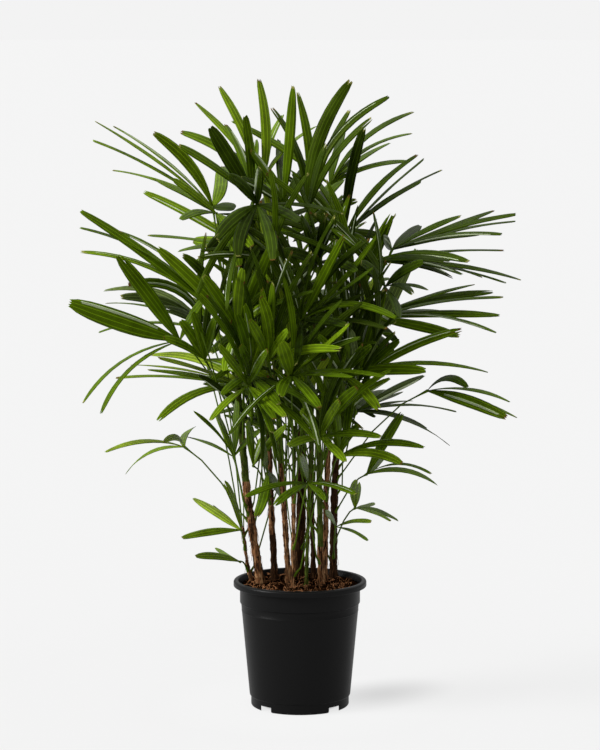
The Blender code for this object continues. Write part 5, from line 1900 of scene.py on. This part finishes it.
class PALM_OT_canes(Operator):
    """Grow the bark and sheaths of the canes and the loose fibres on them"""

    bl_idname = "palm.canes"
    bl_label = "Canes"

    def execute(self, context):
        settings = context.scene.palm_cane
        materials = []
        for cover in COVERS:
            colour = getattr(settings, cover)
            materials.append(fibre_material(
                cover, colour, spacing=(330.0, 330.0, 42.0), contrast=5.0, relief=0.0014, roughness=0.8,
                specular=0.03))
        chance = random.Random(DRAW_SEED)
        shape = Shape()
        for number in range(len(CANES)):
            cane_surface(shape, number, settings, chance)
        bark = make_piece("cane_bark", shape, materials)
        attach(bark, "root")
        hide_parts(*("cane_%02d" % (number + 1) for number in range(len(CANES))))
        source = new_object("cane_source", bark.data.copy())
        strands = run_maker("cane_strands", source, strand_maker(), {
            "Density": settings.strand_density, "Length": settings.strand_length, "Thickness": 0.0003,
            "Bend": 0.0016, "Lean": 0.28, "Seed": DRAW_SEED, "Material": materials[0]})
        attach(strands, "root")
        return {"FINISHED"}


class PALM_OT_soil(Operator):
    """Lay the coir soil with its chips and fibres"""

    bl_idname = "palm.soil"
    bl_label = "Soil"

    def execute(self, context):
        settings = context.scene.palm_soil
        coir = fibre_material(
            "coir", settings.coir, spacing=(420.0, 420.0, 420.0), contrast=4.0, relief=0.002, roughness=0.9,
            specular=0.0)
        chip = fibre_material(
            "coir_chip", settings.chip, spacing=(260.0, 260.0, 260.0), contrast=6.0, relief=0.0006,
            roughness=0.9, specular=0.0)
        fibre = fibre_material(
            "coir_fibre", settings.fibre, spacing=(120.0, 120.0, 120.0), contrast=6.0, relief=0.0002,
            roughness=0.8, specular=0.03)
        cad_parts["soil"].data.materials.clear()
        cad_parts["soil"].data.materials.append(coir)
        inside = COLLAR_RADIUS - WALL
        pieces = [make_piece("soil_top", soil_surface(settings, inside - SOIL_MARGIN), [coir])]
        for name, maker, radius, values in (
                ("soil_crumbs", crumb_maker, inside - CRUMB_MARGIN, {
                    "Density": settings.crumb_density, "Size": settings.crumb_size, "Seed": DRAW_SEED,
                    "Material": chip}),
                ("soil_strands", strand_maker, inside - FIBRE_MARGIN, {
                    "Density": settings.fibre_density, "Length": settings.fibre_length, "Thickness": 0.0004,
                    "Bend": 0.004, "Lean": 1.45, "Seed": DRAW_SEED, "Material": fibre})):
            source = make_piece("soil_source", soil_surface(settings, radius), [])
            pieces.append(run_maker(name, source, maker(), values))
        for piece in pieces:
            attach(piece, "root")
        return {"FINISHED"}


class PALM_OT_pot(Operator):
    """Turn the nursery pot and cut the notches of its foot"""

    bl_idname = "palm.pot"
    bl_label = "Pot"

    def execute(self, context):
        settings = context.scene.palm_pot
        plastic = fibre_material(
            "black_plastic", settings.plastic, spacing=(900.0, 900.0, 900.0), contrast=0.5, relief=0.0001,
            roughness=settings.roughness, specular=0.15)
        pot = make_piece("pot_shell", lathe(pot_section(settings), POT_SIDES), [plastic])
        cut_notches(pot)
        pot.data.set_sharp_from_angle(angle=math.radians(POT_SHARP))
        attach(pot, "root")
        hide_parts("pot")
        return {"FINISHED"}


def floor_light(tree, settings):
    """The floor's colour and its own light, with painted light round the pot, a painted shadow of the pot and
    painted shade under its foot ring.
    """
    where = put(tree, "ShaderNodeTexCoord").outputs["Object"]
    reach = put(tree, "ShaderNodeVectorMath", {0: where}, operation="LENGTH").outputs["Value"]
    seen_ray = put(tree, "ShaderNodeLightPath").outputs["Is Camera Ray"]
    paint = ranged(tree, seen_ray, (0.0, 1.0), (1.0, settings.floor_catch))
    colour = shaded(tree, settings.floor, paint)
    # Painted light that lifts the floor round the pot
    near = ranged(tree, reach, *PAINTED_NEAR_LIGHT)
    wide = ranged(tree, reach, *PAINTED_WIDE_LIGHT)
    # Painted shadow of the pot: a soft streak where the floor's glow is dimmed
    painted_streak = put(tree, "ShaderNodeMapping", {
        "Vector": where, "Location": settings.painted_shadow_place, "Rotation": (0.0, 0.0, settings.painted_shadow_turn),
        "Scale": settings.painted_shadow_size}, vector_type="TEXTURE").outputs[0]
    painted_shadow_reach = put(tree, "ShaderNodeVectorMath", {0: painted_streak}, operation="LENGTH").outputs["Value"]
    depths = (-settings.painted_shadow_depth, 0.0)
    painted_shadow = ranged(tree, painted_shadow_reach, (0.0, 1.0), depths, interpolation_type="SMOOTHSTEP")
    light = settings.floor_glow
    for part in (near, wide, painted_shadow):
        light = calc(tree, "ADD", light, part)
    glow = ranged(tree, seen_ray, (0.0, 1.0), (settings.floor_bounce, light))
    # Painted shade under the foot ring
    foot = tuple(share * FOOT_RADIUS * MM for share in PAINTED_FOOT_SHADE)
    return colour, ranged(tree, reach, foot, (0.0, glow))


def lay_floor(settings):
    """The wide floor that the pot stands on."""
    half = 0.5 * settings.floor_size
    mesh = bpy.data.meshes.new("floor")
    corners = [(-half, -half, 0.0), (half, -half, 0.0), (half, half, 0.0), (-half, half, 0.0)]
    mesh.from_pydata(corners, [], [(0, 1, 2, 3)])
    material, shader = new_material("floor_paint", roughness=0.9, specular=0.0)
    shader.inputs["Emission Color"].default_value = WHITE
    tree = material.node_tree
    colour, strength = floor_light(tree, settings)
    tree.links.new(colour, shader.inputs["Base Color"])
    tree.links.new(strength, shader.inputs["Emission Strength"])
    mesh.materials.append(material)
    floor = new_object("floor", mesh)


def light_sky(settings):
    """A sky that is lighter above, with an even backdrop where the camera sees it."""
    world = bpy.data.worlds.new("sky")
    bpy.context.scene.world = world
    world.use_nodes = True
    tree = world.node_tree
    tree.nodes.clear()
    view = put(tree, "ShaderNodeLightPath").outputs["Is Camera Ray"]
    way = put(tree, "ShaderNodeSeparateXYZ", {0: put(tree, "ShaderNodeTexCoord").outputs["Generated"]})
    light = calc(tree, "MULTIPLY", ranged(tree, way.outputs[2], SKY_HEIGHTS, SKY_LEVELS), settings.sky)
    strength = put(tree, "ShaderNodeMix", {0: view, 2: light, 3: settings.backdrop}).outputs[0]
    ground = put(tree, "ShaderNodeBackground", {0: WHITE, 1: strength})
    output = put(tree, "ShaderNodeOutputWorld", {0: ground.outputs[0]})
    output.is_active_output = True


class PALM_OT_stage(Operator):
    """Set the floor, the sky, the sun and the camera"""

    bl_idname = "palm.stage"
    bl_label = "Stage"

    def execute(self, context):
        settings = context.scene.palm_stage
        lay_floor(settings)
        light_sky(settings)
        lamp = bpy.data.lights.new("key", "SUN")
        lamp.energy = settings.sun
        lamp.angle = settings.sun_size
        key = new_object("key", lamp)
        key.rotation_euler = (0.5 * math.pi - settings.sun_height, 0.0, -settings.sun_turn)
        lens = bpy.data.cameras.new("camera")
        lens.lens = CAMERA_LENS
        lens.sensor_width = CAMERA_SENSOR
        lens.clip_end = CAMERA_REACH
        camera = new_object("camera", lens)
        camera.location = EYE * MM
        camera.rotation_euler = (math.radians(CAMERA_TILT), 0.0, 0.0)
        context.scene.camera = camera
        context.scene.view_settings.view_transform = "Standard"
        return {"FINISHED"}


class PALM_PT_panel(Panel):
    """Sizes, colours and makers of the plant"""

    bl_label = "Lady palm"
    bl_idname = "PALM_PT_panel"
    bl_space_type = "VIEW_3D"
    bl_region_type = "UI"
    bl_category = "Lady palm"

    def draw(self, context):
        for field, _, operator in PANEL_ROWS:
            box = self.layout.box()
            settings = getattr(context.scene, field)
            for label in settings.__annotations__:
                box.prop(settings, label)
            box.operator(operator.bl_idname)


# Each row of the panel: where its settings are on the scene, their class and the operator that uses them
PANEL_ROWS = (
    ("palm_leaf", LeafSettings, PALM_OT_fronds),
    ("palm_cane", CaneSettings, PALM_OT_canes),
    ("palm_soil", SoilSettings, PALM_OT_soil),
    ("palm_pot", PotSettings, PALM_OT_pot),
    ("palm_stage", StageSettings, PALM_OT_stage),
)


def register():
    """Register the classes and put the settings on the scene."""
    for field, settings, operator in PANEL_ROWS:
        bpy.utils.register_class(settings)
        setattr(bpy.types.Scene, field, PointerProperty(type=settings))
        bpy.utils.register_class(operator)
    bpy.utils.register_class(PALM_PT_panel)


def unregister():
    """Take the settings off the scene and unregister the classes."""
    bpy.utils.unregister_class(PALM_PT_panel)
    for field, settings, operator in reversed(PANEL_ROWS):
        bpy.utils.unregister_class(operator)
        delattr(bpy.types.Scene, field)
        bpy.utils.unregister_class(settings)


def main():
    """Make every piece and the stage."""
    register()
    bpy.ops.palm.fronds()
    bpy.ops.palm.canes()
    bpy.ops.palm.soil()
    bpy.ops.palm.pot()
    bpy.ops.palm.stage()


if __name__ == "__main__":
    main()
